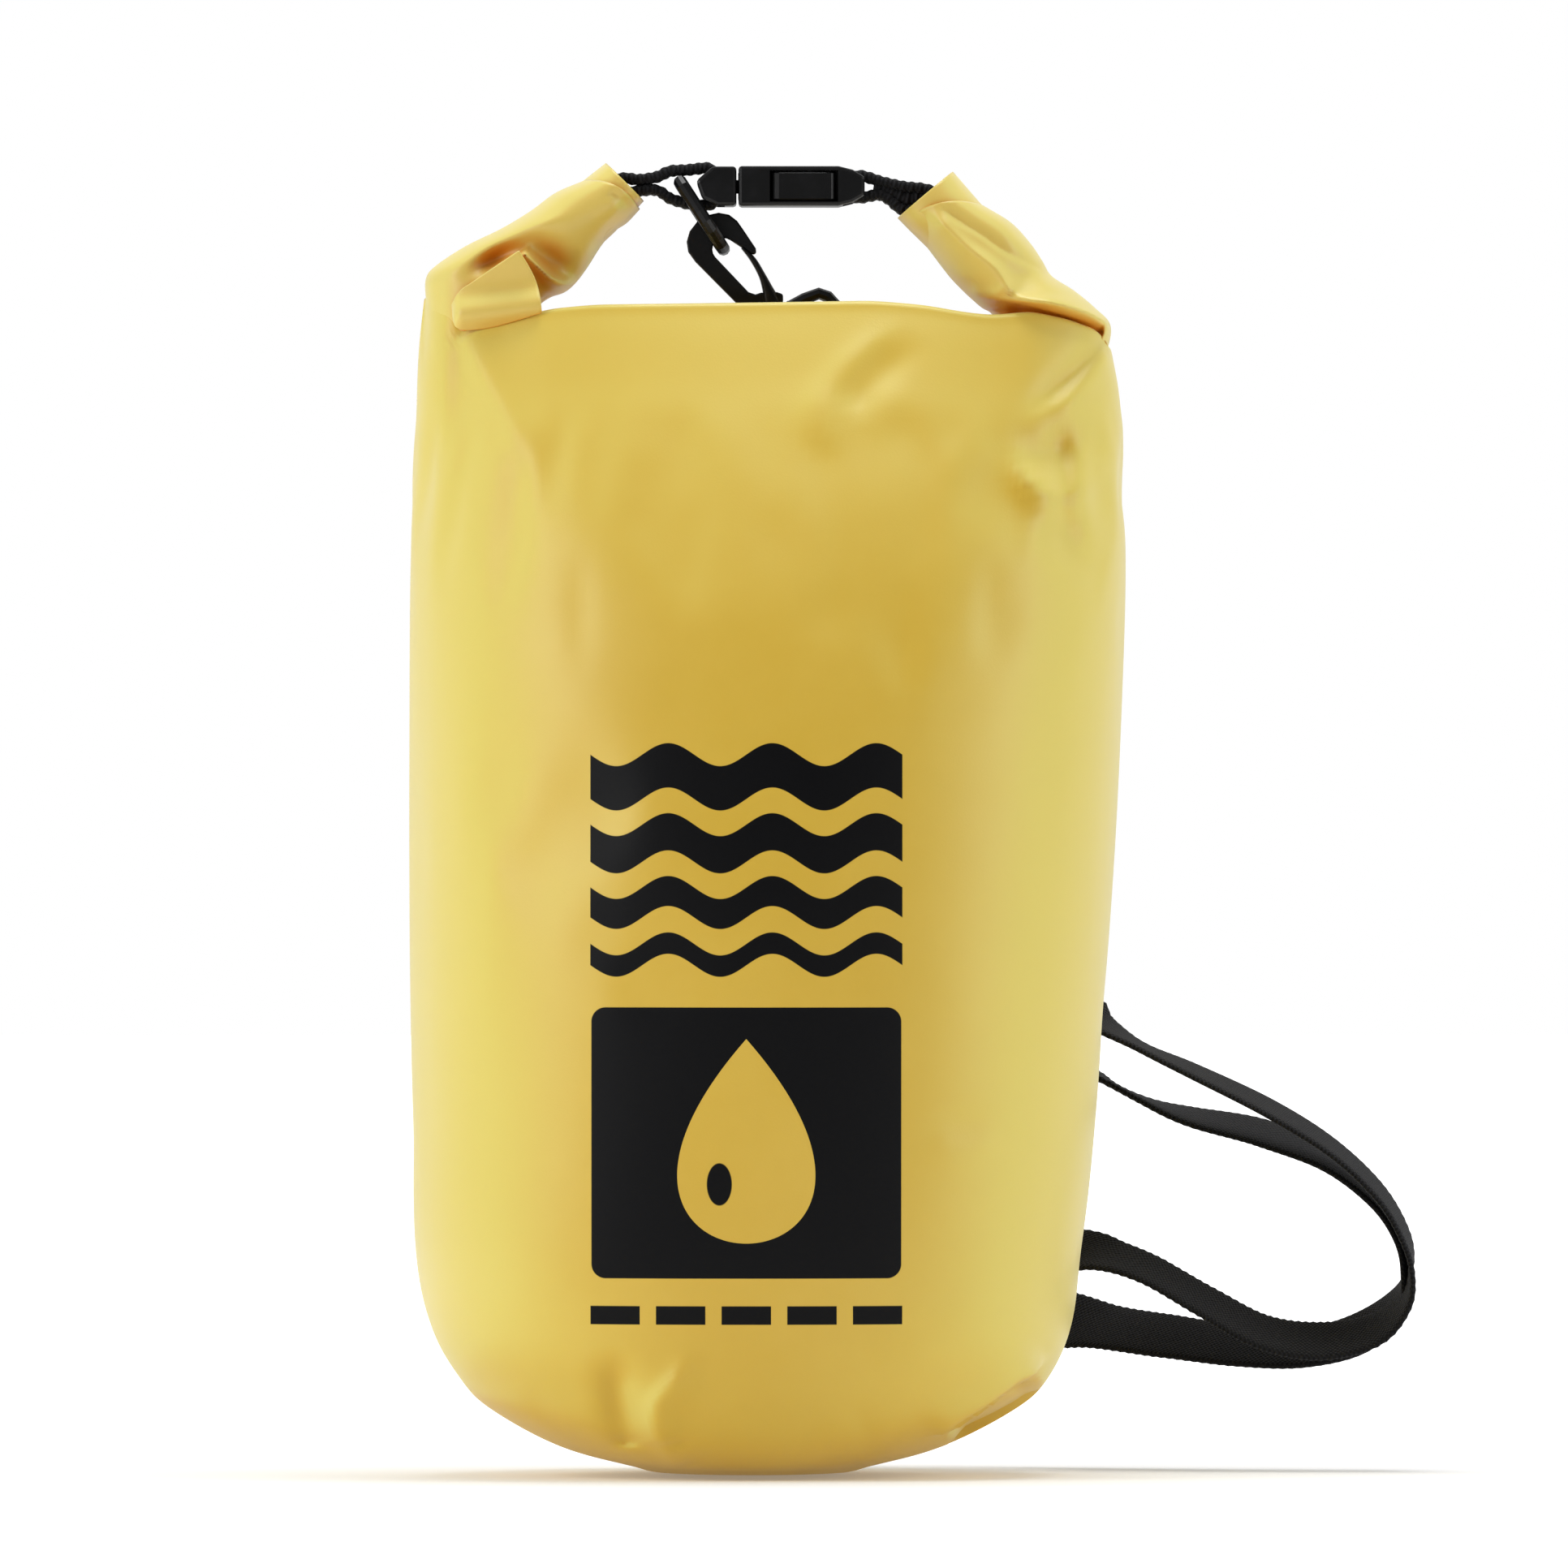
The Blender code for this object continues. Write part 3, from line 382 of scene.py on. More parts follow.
# ---- folds in a skin ----
def beside_line(points, line):
    """Each point's place along a curve seen from the front (0 to 1), and how far left of it it is."""
    path = curve_through(line, 80)
    run = np.gradient(path, axis=0)
    run /= np.linalg.norm(run, axis=1)[:, None]
    flat = points[:, (0, 2)]
    nearest = np.empty(len(flat), int)
    for block in range(0, len(flat), 4000):
        gaps = flat[block:block + 4000, None] - path[None]
        nearest[block:block + 4000] = (gaps**2).sum(axis=2).argmin(axis=1)
    away = flat - path[nearest]
    side = run[nearest, 0] * away[:, 1] - run[nearest, 1] * away[:, 0]
    distance = np.linalg.norm(away, axis=1)
    return nearest / (len(path) - 1), np.where(side > 0, distance, -distance)


def crease(obj, line, height, left=4.0, right=4.0, sharp=1.5, ends=(0.25, 0.25), swell=False):
    """Raises a ridge (a groove, with height below 0) along a line seen from the front.

    left and right are the widths of its flanks, sharp below 2 gives a crisper crest, and ends are
    the shares of its length over which it fades in and out. It rises toward the front, or with
    swell the way the skin faces.
    """
    outward = read_points(obj, "normal")
    facing = np.clip(-outward[:, 1], 0, 1)**0.5
    rise = outward if swell else np.outer(facing, (0, -1, 0))

    def change(points):
        near = facing > 0.02
        along, side = beside_line(points[near], line)
        reach = np.where(side > 0, left, right)
        fade = np.clip(along / ends[0], 0, 1) * np.clip((1 - along) / ends[1], 0, 1)
        fade = smooth_step(fade, 0, 1)
        points[near] += rise[near] * (height * np.exp(-np.abs(side / reach)**sharp) * fade)[:, None]
        return points

    edit_points(obj, change)


def dent(obj, centre, size, angle, depth, side=-1):
    """Presses an oval hollow into the front (side -1) or back, or raises a bump with depth below 0."""
    turn = math.radians(angle)

    def change(points):
        flat = points[:, (0, 2)] - np.array(centre, float)
        along = (flat @ np.array([math.cos(turn), math.sin(turn)])) / size[0]
        across = (flat @ np.array([-math.sin(turn), math.cos(turn)])) / size[1]
        reach = np.clip(points[:, 1] * side / 8, 0, 1)
        points[:, 1] -= side * depth * np.exp(-along**2 - across**2) * reach
        return points

    edit_points(obj, change)


# ---- bag body ----
# Rings of the body from the base up. Each row holds the ring's height at its front, sides and back,
# how far it reaches left, right, forward and back, and its roundness (2 is an ellipse, more is boxier).
BODY = (
    (1.2, 1.8, 1.2, -36, 26, -50, 50, 2.0),
    (4.0, 8.0, 4.0, -59, 49, -62, 62, 2.0),
    (11.0, 18.5, 11, -78.5, 69.5, -73, 73, 2.0),
    (24, 27.0, 24, -87, 78.5, -81, 81, 2.0),
    (41, 41, 41, -94.8, 84.8, -87, 87, 2.1),
    (62, 62, 62, -99.0, 87.6, -90.5, 91, 2.15),
    (100, 100, 100, -99.6, 91.2, -93, 93, 2.1),
    (145, 145, 145, -100, 94.6, -94, 94, 2.1),
    (187, 187, 187, -100, 97.4, -93, 94, 2.1),
    (235, 235, 235, -100, 99.6, -86, 88, 2.15),
    (272, 272, 264, -99.5, 100.4, -70, 74, 2.2),
    (303, 301, 283, -99.2, 99.0, -47, 54, 2.3),
    (322, 316, 292, -97.2, 96.6, -33, 38, 2.6),
)
AROUND = 120
ROWS = 68
TUCK_RADIUS = 2.2      # of the fold along the top edge
SHOULDER_TOP = 335     # height of the left shoulder
ROLL_DIP, ROLL_END = 293.0, 306.0    # height of the roll's middle, at the centre and the shoulders


def body_ring(t, angles):
    """One ring of the body at t along BODY, with its top rows drawn up to the fold and the shoulder."""
    row = between_rows(np.array(BODY, float), t)
    front_z, side_z, back_z, left, right, front, back, power = row
    c, s = np.cos(angles), np.sin(angles)
    x = (left + right) / 2 + (right - left) / 2 * squared_off(c, 2 / power)
    y = np.where(s > 0, back, -front) * squared_off(s, 2 / power)
    far = np.where(s > 0, back_z, front_z)
    z = side_z + (far - side_z) * s**2
    # the front rises to the fold that the neck is rolled over
    top_front, top_side = BODY[-1][:2]
    top = top_side + (top_front - top_side) * s**2
    near_top = smooth_step(t, len(BODY) - 4, len(BODY) - 1)
    lift = (ridge_height(x) - top) * near_top * smooth_step(-y, 4, 15)
    # the left shoulder stands higher, and lies close over the roll's upturned end
    shoulder = smooth_step(-x, 87.0, 92.5) * smooth_step(z, 288, 318)
    z = z + lift + (SHOULDER_TOP - ridge_height(x)) * shoulder
    close = smooth_step(-x, 83.0, 89.0) * smooth_step(z, 308, 330)
    end_middle, end_half, end_front, end_back, roundness = -77.9, 18.8, -21.2, 25.4, 2.2
    u = np.clip((x - end_middle) / end_half, -1, 1)
    over_roll = np.where(y > 0, end_back, end_front) * (1 - np.abs(u)**roundness)**(1 / roundness)
    return np.column_stack([x, y + (over_roll - y) * close, z])


def ridge_height(x):
    """The height of the front fold that the neck is rolled over."""
    stops = ((-99, 322.0), (-86, 322.6), (-75, 324.6), (-63, 328.0), (-50, 329.2),
             (0, 329.8), (30, 330.3), (45, 329.0), (55, 327.2), (63, 326.3), (75, 327.4),
             (85, 325.4), (95, 322.0), (99, 319))
    xs, zs = zip(*stops)
    return np.interp(x, xs, zs) - TUCK_RADIUS


def roll_middle(x):
    """The height of the roll's centre line, which sags between its shoulders."""
    middle, reach, most = 1.5, 66.0, 1.3
    return ROLL_DIP + (ROLL_END - ROLL_DIP) * np.minimum(((x - middle) / reach)**2, most)


def make_body(material):
    """The tube of fabric from the base up to the fold its neck is rolled over."""
    angles = np.linspace(0, 2 * np.pi, AROUND, endpoint=False)
    first = body_ring(0, angles)
    centre = np.array([-4.0, 0.0, 0.0])
    rings = [centre + (first - centre) * (share, share, 0) + (0, 0, 0.35 + share * 0.5)
             for share in (0.02, 0.35, 0.7, 0.93)]
    rings += [body_ring(t, angles) for t in np.linspace(0, len(BODY) - 1, ROWS)]
    last = rings[-1]
    inward = -last * (0.25, 1, 0)
    inward /= np.linalg.norm(inward, axis=1)[:, None]
    tuck = (TUCK_RADIUS - 1.8 * smooth_step(-last[:, 0], 84, 90))[:, None]
    for turn in np.radians((35, 70, 105, 140, 180)):
        rings.append(last + tuck * (inward * (1 - math.cos(turn)) + np.array([0, 0, math.sin(turn)])))
    # then the neck runs down into the roll
    edge = rings[-1]
    narrower, thinner = 0.9, 0.4
    roll = np.column_stack([edge[:, 0] * narrower, edge[:, 1] * thinner, roll_middle(edge[:, 0])])
    for share in (0.15, 0.35, 0.6, 0.85, 0.97):
        rings.append(edge + (roll - edge) * (share, share, share**0.7))
    body = skin("skin_body", rings, material, caps=True)
    settle(body)
    subdivide(body)
    apply_all(body)
    shape_body_front(body)
    shape_body_back(body)
    return body


def settle(body):
    """Lets the body relax as cloth with a little air in it, its foot and its top edge held still.

    No point moves more than limit, and the moves fade out toward the foot.
    """
    foot, top, limit, frames = 9, 296, 2.2, 18
    rest = read_points(body) / MM
    height = rest[:, 2]
    group = body.vertex_groups.new(name="pin")
    group.add(np.nonzero((height > top) | (height < foot))[0].tolist(), 1.0, "REPLACE")
    cloth = body.modifiers.new("cloth", "CLOTH")
    cloth.settings.effector_weights.gravity = 0.0
    for name, value in (("quality", 6), ("mass", 0.2), ("tension_stiffness", 25),
                        ("compression_stiffness", 25), ("shear_stiffness", 12),
                        ("bending_stiffness", 1.2), ("use_pressure", True),
                        ("uniform_pressure_force", 0.35), ("shrink_min", -0.012),
                        ("vertex_group_mass", "pin")):
        setattr(cloth.settings, name, value)
    cloth.collision_settings.use_collision = False
    for step in range(1, frames + 1):
        bpy.context.scene.frame_set(step)
    apply_all(body)
    bpy.context.scene.frame_set(1)
    body.vertex_groups.clear()

    def cap(points):
        moved = points - rest
        distance = np.linalg.norm(moved, axis=1)
        kept = 0.8 * smooth_step(height, 30, 90) * np.minimum(1, limit / np.maximum(distance, 1e-6))
        return rest + moved * kept[:, None]

    edit_points(body, cap)


def shape_body_front(body):
    """The soft creases and hollows of the front."""
    # from the left shoulder down into the panel, and the band beside it
    crease(body, [(-86, 321), (-79, 308), (-71, 293), (-63.5, 272)], 2.6, left=6.5, right=4.0,
           sharp=1.6, ends=(0.03, 0.6))
    crease(body, [(-90, 316), (-88, 302), (-83, 281), (-79, 250)], -1.2, left=4.5, right=4.5,
           sharp=2.0, ends=(0.35, 0.6))
    # from the right shoulder
    crease(body, [(97, 321), (85, 309.5), (76, 302.5), (68, 297)], -3.6, left=3.4, right=3.0,
           sharp=1.5, ends=(0.02, 0.5))
    crease(body, [(97, 317), (87.5, 305), (80, 297.5), (72, 292)], 3, left=3.2, right=4.5,
           sharp=1.6, ends=(0.1, 0.5))
    # the arc under the top edge, right of the middle
    crease(body, [(40, 324), (28.3, 318), (19.2, 309), (12.8, 299), (15.5, 291.5), (24, 288.5)], 1.9,
           left=6.0, right=3.4, sharp=1.6, ends=(0.4, 0.25))
    crease(body, [(44, 320), (34, 312), (26, 303.5), (21.5, 297)], -1.9, left=4.0, right=6.5,
           sharp=1.8, ends=(0.5, 0.2))
    # the hollow and fold at the right side
    crease(body, [(67, 291), (69, 284), (74, 277.5), (82.4, 273.6), (89, 278), (96, 287)], 4.2,
           left=3.6, right=4.2, sharp=1.4, ends=(0.3, 0.15))
    dent(body, (79, 287.5), (9, 5.5), 20, 4.6)
    dent(body, (84, 263), (10, 6), -50, 3.2)
    crease(body, [(99, 272), (95, 262), (91.5, 250), (90, 236)], -1.6, left=2.4, right=3.4, sharp=1.5,
           ends=(0.1, 0.5))
    crease(body, [(98, 262), (92, 248), (86, 228), (84, 205)], 0.9, left=4.0, right=5.0, sharp=1.8,
           ends=(0.1, 0.6))
    # a long faint fold at the left, and a small one at the lower right
    crease(body, [(-88, 262), (-84, 210), (-82, 150), (-84, 100)], 0.9, left=7.0, right=8.0,
           sharp=2.0, ends=(0.35, 0.35))
    crease(body, [(44, 96.5), (51, 93.2), (58.5, 94), (67, 97.2)], 0.8, left=2.0, right=2.6,
           sharp=1.4, ends=(0.35, 0.35))
    dent(body, (54, 98.5), (8, 3.2), 0, 0.7)
    # the pinched foot
    crease(body, [(-43.5, 38), (-42.5, 28), (-41, 18), (-39, 8)], -5, left=4.6, right=5.0, sharp=1.8,
           ends=(0.4, 0.1))
    crease(body, [(-20.5, 38), (-25.5, 29), (-31.5, 21), (-31, 12), (-26.5, 3)], 4, left=5.4,
           right=2.6, sharp=1.5, ends=(0.35, 0.02))
    crease(body, [(-45, 12.5), (-38, 9.8), (-29, 9.4), (-20, 12)], -1.5, left=1.1, right=1.5,
           sharp=1.3, ends=(0.2, 0.2))
    crease(body, [(43, 11.5), (51, 15.5), (60, 21), (68, 27), (79, 34)], 2.6, left=4.5, right=0.9,
           sharp=1.3, ends=(0.2, 0.2), swell=True)
    crease(body, [(49, 10.5), (57, 14.5), (65.5, 20), (75.5, 27.5)], -4.2, left=1.6, right=4.5,
           sharp=1.6, ends=(0.25, 0.2), swell=True)
    crease(body, [(-70, 26), (-62, 17), (-55, 11), (-50, 7)], -1.1, left=3.0, right=3.0, sharp=1.8,
           ends=(0.4, 0.1))
    crease(body, [(22, 24), (27, 14), (30, 6)], -0.8, left=3.5, right=3.5, sharp=1.9, ends=(0.5, 0.1))


def shape_body_back(body):
    """The hollows that the straps' pull leaves, and the sag below the roll."""
    dent(body, (27, 270), (20, 12), 0, 2, side=1)
    dent(body, (-45, 262), (16, 10), 20, 1.6, side=1)
    dent(body, (60, 240), (12, 22), 15, 1.4, side=1)
    dent(body, (-20, 30), (14, 8), 0, 1.6, side=1)
    dent(body, (48, 24), (12, 7), 15, 1.5, side=1)
    dent(body, (-70, 130), (8, 26), 5, 1, side=1)


# ---- roll and its upturned ends ----
def flat_tube(name, stations, material, count, rows):
    """A flattened tube of fabric.

    Each station holds the outer edge x, z and the inner edge x, z as seen from the front, the
    depths in front of and behind the middle plane, the roundness, and how far the middle of the
    ring bows along the tube.
    """
    path = curve_through(stations, rows, fine=40)
    around = np.linspace(0, 2 * np.pi, count, endpoint=False)
    c, s = np.cos(around), np.sin(around)
    rings = []
    for outer_x, outer_z, inner_x, inner_z, front, back, power, bow in path:
        middle = np.array([(outer_x + inner_x) / 2, 0, (outer_z + inner_z) / 2])
        half = np.array([(outer_x - inner_x) / 2, 0, (outer_z - inner_z) / 2])
        ahead = np.array([-half[2], 0, half[0]]) * (1 if outer_x > inner_x else -1)
        ahead /= max(np.linalg.norm(ahead), 0.01)
        u, v = squared_off(c, 2 / power), squared_off(s, 2 / power)
        ring = middle + np.outer(u, half) + np.outer(bow * (1 - u**2), ahead)
        ring[:, 1] = np.where(v > 0, back, front) * v
        rings.append(ring)
    return skin(name, rings, material)


def make_left_arm(material):
    """From the middle of the roll, over the left shoulder, up to the mouth."""
    stations = (
        (1.5, 284.5, 1.5, 301.5, 23, 24, 2.3, 0),
        (-34, 287.5, -34, 305.5, 23, 24, 2.3, 0),
        (-62, 293, -58, 313, 22, 25, 2.3, 0),
        (-80, 299, -63, 320, 20, 26, 2.25, 0),
        (-92.5, 309, -65.5, 326, 20, 26, 2.2, 1),
        (-95.8, 321, -64.5, 329.4, 20.5, 25, 2.2, 2),
        (-96.7, 331, -61.5, 331.6, 21, 25, 2.2, 2),
        (-96.7, 336.8, -57.6, 333, 21.5, 25, 2.15, 2),
        (-94, 340.4, -54.5, 335.6, 21.5, 25, 2.1, 2),
        (-85.5, 346, -51.3, 339.8, 22, 24, 2.1, 1),
        (-75.5, 350.9, -47.2, 346.2, 22, 24, 2.1, 1),
        (-67.2, 355.9, -43.8, 350, 22, 23, 2.1, 1),
        (-60.2, 361, -40, 352.6, 21.5, 23, 2.1, 1.5),
        (-52.3, 364.4, -36.4, 356.4, 20.5, 22, 2.1, 2.6),
    )
    arm = flat_tube("skin_arm_left", stations, material, 170, 190)
    # the hollow above the tucked corner, the long lobe beside it and the lip below
    dent(arm, (-76.5, 342.2), (7, 3), 28, 7)
    dent(arm, (-61.8, 342.6), (7.5, 4.6), -28, 8.5)
    dent(arm, (-65.5, 334), (6, 4), -60, 6)
    crease(arm, [(-95.5, 337.6), (-88, 341), (-78, 346.6), (-66, 351.5), (-54, 355.5)], 1.6,
           left=2.5, right=3.0, sharp=1.5, ends=(0.15, 0.3))
    crease(arm, [(-70, 344.2), (-66.2, 341), (-61.9, 336.8), (-57.5, 334.9), (-54, 337)], 6.5,
           left=1.9, right=1.3, sharp=1.6, ends=(0.08, 0.2))
    crease(arm, [(-53.2, 338.5), (-51, 345), (-46.5, 351.5), (-42.8, 356.5), (-42.2, 361)], 2,
           left=3.4, right=2.0, sharp=1.7, ends=(0.25, 0.2))
    crease(arm, [(-45, 361.6), (-41.5, 358.4), (-38, 357)], -0.9, left=0.8, right=1.2,
           sharp=1.3, ends=(0.2, 0.2))
    return arm


def make_left_mouth(material):
    """The inner layer of the roll, standing out of the left mouth with its hem."""
    stations = (
        (-70, 349, -50, 344, 16, 18, 2.2, 0),
        (-60, 358, -43.5, 350, 18.5, 21, 2.2, 0),
        (-52.6, 364.2, -38.9, 354.9, 19.3, 21.5, 2.3, 0),
        (-46.0, 369.4, -35.3, 358.7, 17.5, 20, 2.5, 0),
    )
    return flat_tube("skin_mouth_left", stations, material, 110, 40)


def make_left_corner(material):
    """The corner of fabric that is tucked up in front of the left shoulder."""
    across, up = 40, 30
    low = ((-88.6, 326.2), (-87.4, 322.6), (-82, 322.2), (-75.5, 323.3), (-63.7, 326.8))
    high = ((-88.9, 329.0), (-86.6, 333.2), (-83.0, 335.8), (-77.0, 339.9), (-70.2, 344.4))
    low_path, high_path = curve_through(low, across), curve_through(high, across)
    rings = []
    for t in np.linspace(0, 1, up):
        ring = []
        for i, s in enumerate(np.linspace(0, 1, across)):
            x, z = low_path[i] * (1 - t) + high_path[i] * t
            x += 1.6 * math.sin(math.pi * t) * s**3
            roll = math.exp(-((z - 327.8 - 0.12 * (x + 75)) / 4.2)**2)
            top = math.exp(-((z - 343) / 6.0)**2)
            y = -18.6 - 6.4 * s**0.6 - 4.6 * roll * (0.25 + 0.75 * min(1, s * 6)) - 1.2 * top
            ring.append((x, y, z))
        rings.append(ring)
    corner = skin("skin_corner_left", rings, material, closed=False)
    thicken(corner, FABRIC, offset=0.0)
    subdivide(corner)
    apply_all(corner)
    return corner


def make_right_arm(material):
    """From the middle of the roll, over the right shoulder, up to the mouth."""
    stations = (
        (1.5, 284.5, 1.5, 301.5, 23, 24, 2.3, 0),
        (36, 287.5, 36, 305.5, 23, 24, 2.3, 0),
        (61, 292, 56, 314, 21, 25, 2.3, 0),
        (80, 298, 60, 322, 18, 26, 2.25, 0),
        (91, 307, 63, 325.6, 17, 26, 2.2, 0),
        (95, 316, 62.2, 327.4, 18, 26, 2.2, 1),
        (96.2, 323.6, 60, 328.6, 23.5, 27, 2.2, 1),
        (91.8, 328.6, 57.6, 330.6, 24, 26, 2.15, 1),
        (86, 333.4, 54.8, 333.2, 23.5, 25, 2.1, 0),
        (79.6, 337.6, 51.4, 336.7, 23, 24, 2.1, 0),
        (77, 341.8, 48.3, 340.6, 22.5, 24, 2.1, 0),
        (73.6, 346.8, 44.6, 345.5, 22, 23.5, 2.1, 0),
        (68.2, 352.6, 41.2, 349.5, 21.5, 23, 2.1, 1),
        (60.4, 357.4, 37.8, 352.6, 20.5, 22, 2.1, 3),
    )
    arm = flat_tube("skin_arm_right", stations, material, 170, 190)
    crease(arm, [(45.5, 358.6), (53, 353.2), (60, 348.8), (66.8, 344), (77.5, 338.8)], -1.5,
           left=3.0, right=0.9, sharp=1.3, ends=(0.25, 0.05))
    crease(arm, [(44.6, 356.4), (50, 350.6), (56, 345), (63.4, 339.2), (66.8, 334.2), (68.6, 330.8)],
           3.4, left=2.0, right=4.2, sharp=1.5, ends=(0.2, 0.12))
    dent(arm, (72, 336.3), (5.5, 4), -35, 2)
    dent(arm, (68, 349.5), (7, 4.5), -45, -2)
    crease(arm, [(54.5, 332.6), (62, 330.9), (69.6, 330.3), (80.5, 329.3), (89.4, 327), (96.4, 322.8)],
           3.8, left=2.6, right=1.0, sharp=1.7, ends=(0.1, 0.04))
    crease(arm, [(66, 327.9), (77, 326.3), (87.4, 324), (94.5, 321.4)], -7,
           left=1.5, right=2.4, sharp=1.7, ends=(0.15, 0.05))
    return arm


def make_right_mouth(material):
    """The inner layer of the roll at the right, as at the left."""
    stations = (
        (70, 344, 50, 340, 16, 18, 2.2, 0),
        (66, 350.5, 44.5, 345.6, 18, 20.5, 2.2, 0),
        (59.6, 358.0, 39.8, 350.2, 19.2, 21.5, 2.3, 0),
        (51.8, 367.0, 36.2, 353.9, 17.5, 20, 2.5, 0),
    )
    return flat_tube("skin_mouth_right", stations, material, 110, 40)


# ---- hook ----
def make_gate(material):
    """The sprung gate: a thin blade from the underside of the nose to its root at the hook's foot."""
    half_depth = 3.0
    # x, z and half the thickness
    path = ((-7.6, 345.6, 0.4), (-4.6, 342.3, 0.85), (-2.1, 338.0, 1.0), (-0.5, 334.2, 1.5),
            (0.6, 331.0, 2.2), (1.4, 328.6, 2.4))
    path = curve_through(path, 40)
    run = np.gradient(path[:, :2], axis=0)
    run /= np.linalg.norm(run, axis=1)[:, None]
    angles = np.linspace(0, 2 * np.pi, 24, endpoint=False)
    u, v = squared_off(np.cos(angles), 0.55), squared_off(np.sin(angles), 0.55)
    rings = [[(x - dz * half * a, half_depth * b, z + dx * half * a) for a, b in zip(u, v)]
             for (x, z, half), (dx, dz) in zip(path, run)]
    return skin("gate_blade", rings, material, caps=True)


# ---- webbing ----
def strip(name, stations, material, half=WEB_HALF, thick=WEB_THICK, nub=0.2, part=(0, 1)):
    """Woven webbing along stations of (x, y, z, width direction x, y, z), with rounded, nubbly edges.

    part is the share of its length that is made.
    """
    pitch = 2.4
    raw = curve_through(stations, 60)
    length = np.linalg.norm(np.diff(raw[:, :3], axis=0), axis=1).sum()
    count = max(12, int(length / 0.6 if nub > 0.25 else length / 1.2))
    path = curve_through(stations, count)
    middle, across = path[:, :3], path[:, 3:6]
    along = np.gradient(middle, axis=0)
    along /= np.linalg.norm(along, axis=1)[:, None]
    across = across - along * (across * along).sum(1)[:, None]
    across /= np.linalg.norm(across, axis=1)[:, None]
    normal = np.cross(along, across)
    travelled = np.linspace(0, length, count)
    bead = nub * np.sin(travelled * 2 * np.pi / pitch)
    # half of the section, from one edge over the outer face to the other
    flat = [(w, 1.0) for w in (-0.88, -0.6, -0.3, 0, 0.3, 0.6, 0.88)]
    half_section = [(-1.0, 0.0), (-0.97, 0.62), *flat, (0.97, 0.62)]
    section = half_section + [(-w, -h) for w, h in half_section]
    rings, uv = [], []
    for i in range(int(count * part[0]), min(count, int(count * part[1]) + 1)):
        ring = []
        for w, h in section:
            reach = half * w + bead[i] * (w if abs(w) > 0.9 else 0)
            ring.append(middle[i] + across[i] * reach + normal[i] * (h * (thick / 2 + bead[i] * 0.5)))
        rings.append(ring)
        uv.append([(travelled[i] * MM, half * w * MM) for w, h in section])
    return skin(name, rings, material, caps=True, uv=uv)


def make_buckle_webs(material):
    """The doubled web on each half of the buckle, and the sewn-back tail on the right."""
    def stations(points):
        return [(x, 0, BUCKLE_Z + z, 0, 1, 0) for x, z in points]

    left = [(-54, -4.5), (-47, 0.8), (-41, 2.4), (-36.6, 2.0), (-31.6, 2.8), (-27.9, 4.4),
            (-23.5, 4.7), (-20.0, 5.1), (-17.6, 5.3), (-15.9, 4.6), (-15.1, 2.8), (-15.0, 0.0),
            (-15.1, -2.8), (-15.9, -4.6), (-17.8, -5.2), (-20.6, -5.2), (-24.5, -4.4), (-28, -3.2),
            (-31.6, -1.0), (-36.6, -1.2), (-42, -2.6), (-54, -9.0)]
    right = [(58, -8.0), (50, -3.0), (44, -0.7), (38, 0.0), (32, 1.3), (28, 2.6), (25.6, 3.1),
             (23.6, 2.7), (22.4, 1.4), (22.2, 0), (22.4, -1.4), (23.6, -2.7), (25.6, -3.1),
             (28.4, -2.6), (31.4, -2.3), (34.2, -3.8), (36.6, -5.9), (39.4, -6.8), (44, -6.6),
             (52, -11.0)]
    tail = [(29.4, 0.0), (32.0, -0.5), (35.4, -2.1), (39.0, -3.4), (44.0, -3.8), (52.0, -7.6)]
    return (strip("web_left", stations(left), material, thick=2.9, nub=0.3),
            strip("web_right", stations(right), material, thick=2.9, nub=0.3),
            strip("web_tail", stations(tail), material, thick=3.9, half=WEB_HALF - 0.6, nub=0.3))


# The straps, from the joint behind the roll, round through the loop at the right, to the lower back.
# Each row is a station: its place x, y, z, and the direction x, y, z of the webbing's width there.
NEAR_STRAP = (
    (26.8, 51.2, 290.5, 1, 0, 0),
    (27, 52.4, 286, 1, 0, 0.05),
    (36, 73, 262, 0.98, -0.1, -0.1),
    (46, 86, 232, 0.93, -0.3, -0.2),
    (60, 84, 196, 0.85, -0.4, -0.2),
    (74, 73, 164, 0.6, -0.6, 0.2),
    (84, 65, 135.5, 0.3, 0.75, 0.5),
    (91, 59.5, 128.6, 0.1, 0.92, 0.34),
    (97, 57, 124.6, 0.05, 0.97, 0.20),
    (106, 55, 119.6, 0, 0.99, 0.10),
    (120, 52, 113.2, 0.05, 0.98, 0.16),
    (142, 49, 102.4, 0.05, 0.97, 0.22),
    (160, 47, 91, 0, 0.96, 0.25),
    (173, 46, 78.5, 0.05, 0.96, 0.22),
    (180, 46, 66.5, 0.10, 0.98, 0.12),
    (181.9, 46, 56.5, 0, 0.99, 0.10),
    (179.3, 46, 47.4, -0.14, 0.96, 0.22),
    (171, 46, 39.6, -0.16, 0.90, 0.38),
    (156, 46, 36.6, -0.05, 0.86, 0.50),
    (140, 47, 39.2, 0.1, 0.88, 0.44),
    (124, 50, 47.6, 0.2, 0.90, 0.36),
    (108, 54, 56.6, 0.12, 0.91, 0.37),
    (96, 59, 60.6, 0.05, 0.91, 0.40),
    (86, 65, 61.4, 0.05, 0.8, 0.6),
    (68, 75, 60, 0.05, 0.1, 1),
    (52, 82, 58.2, 0, 0, 1),
    (42, 86.5, 58, 0, 0, 1),
)
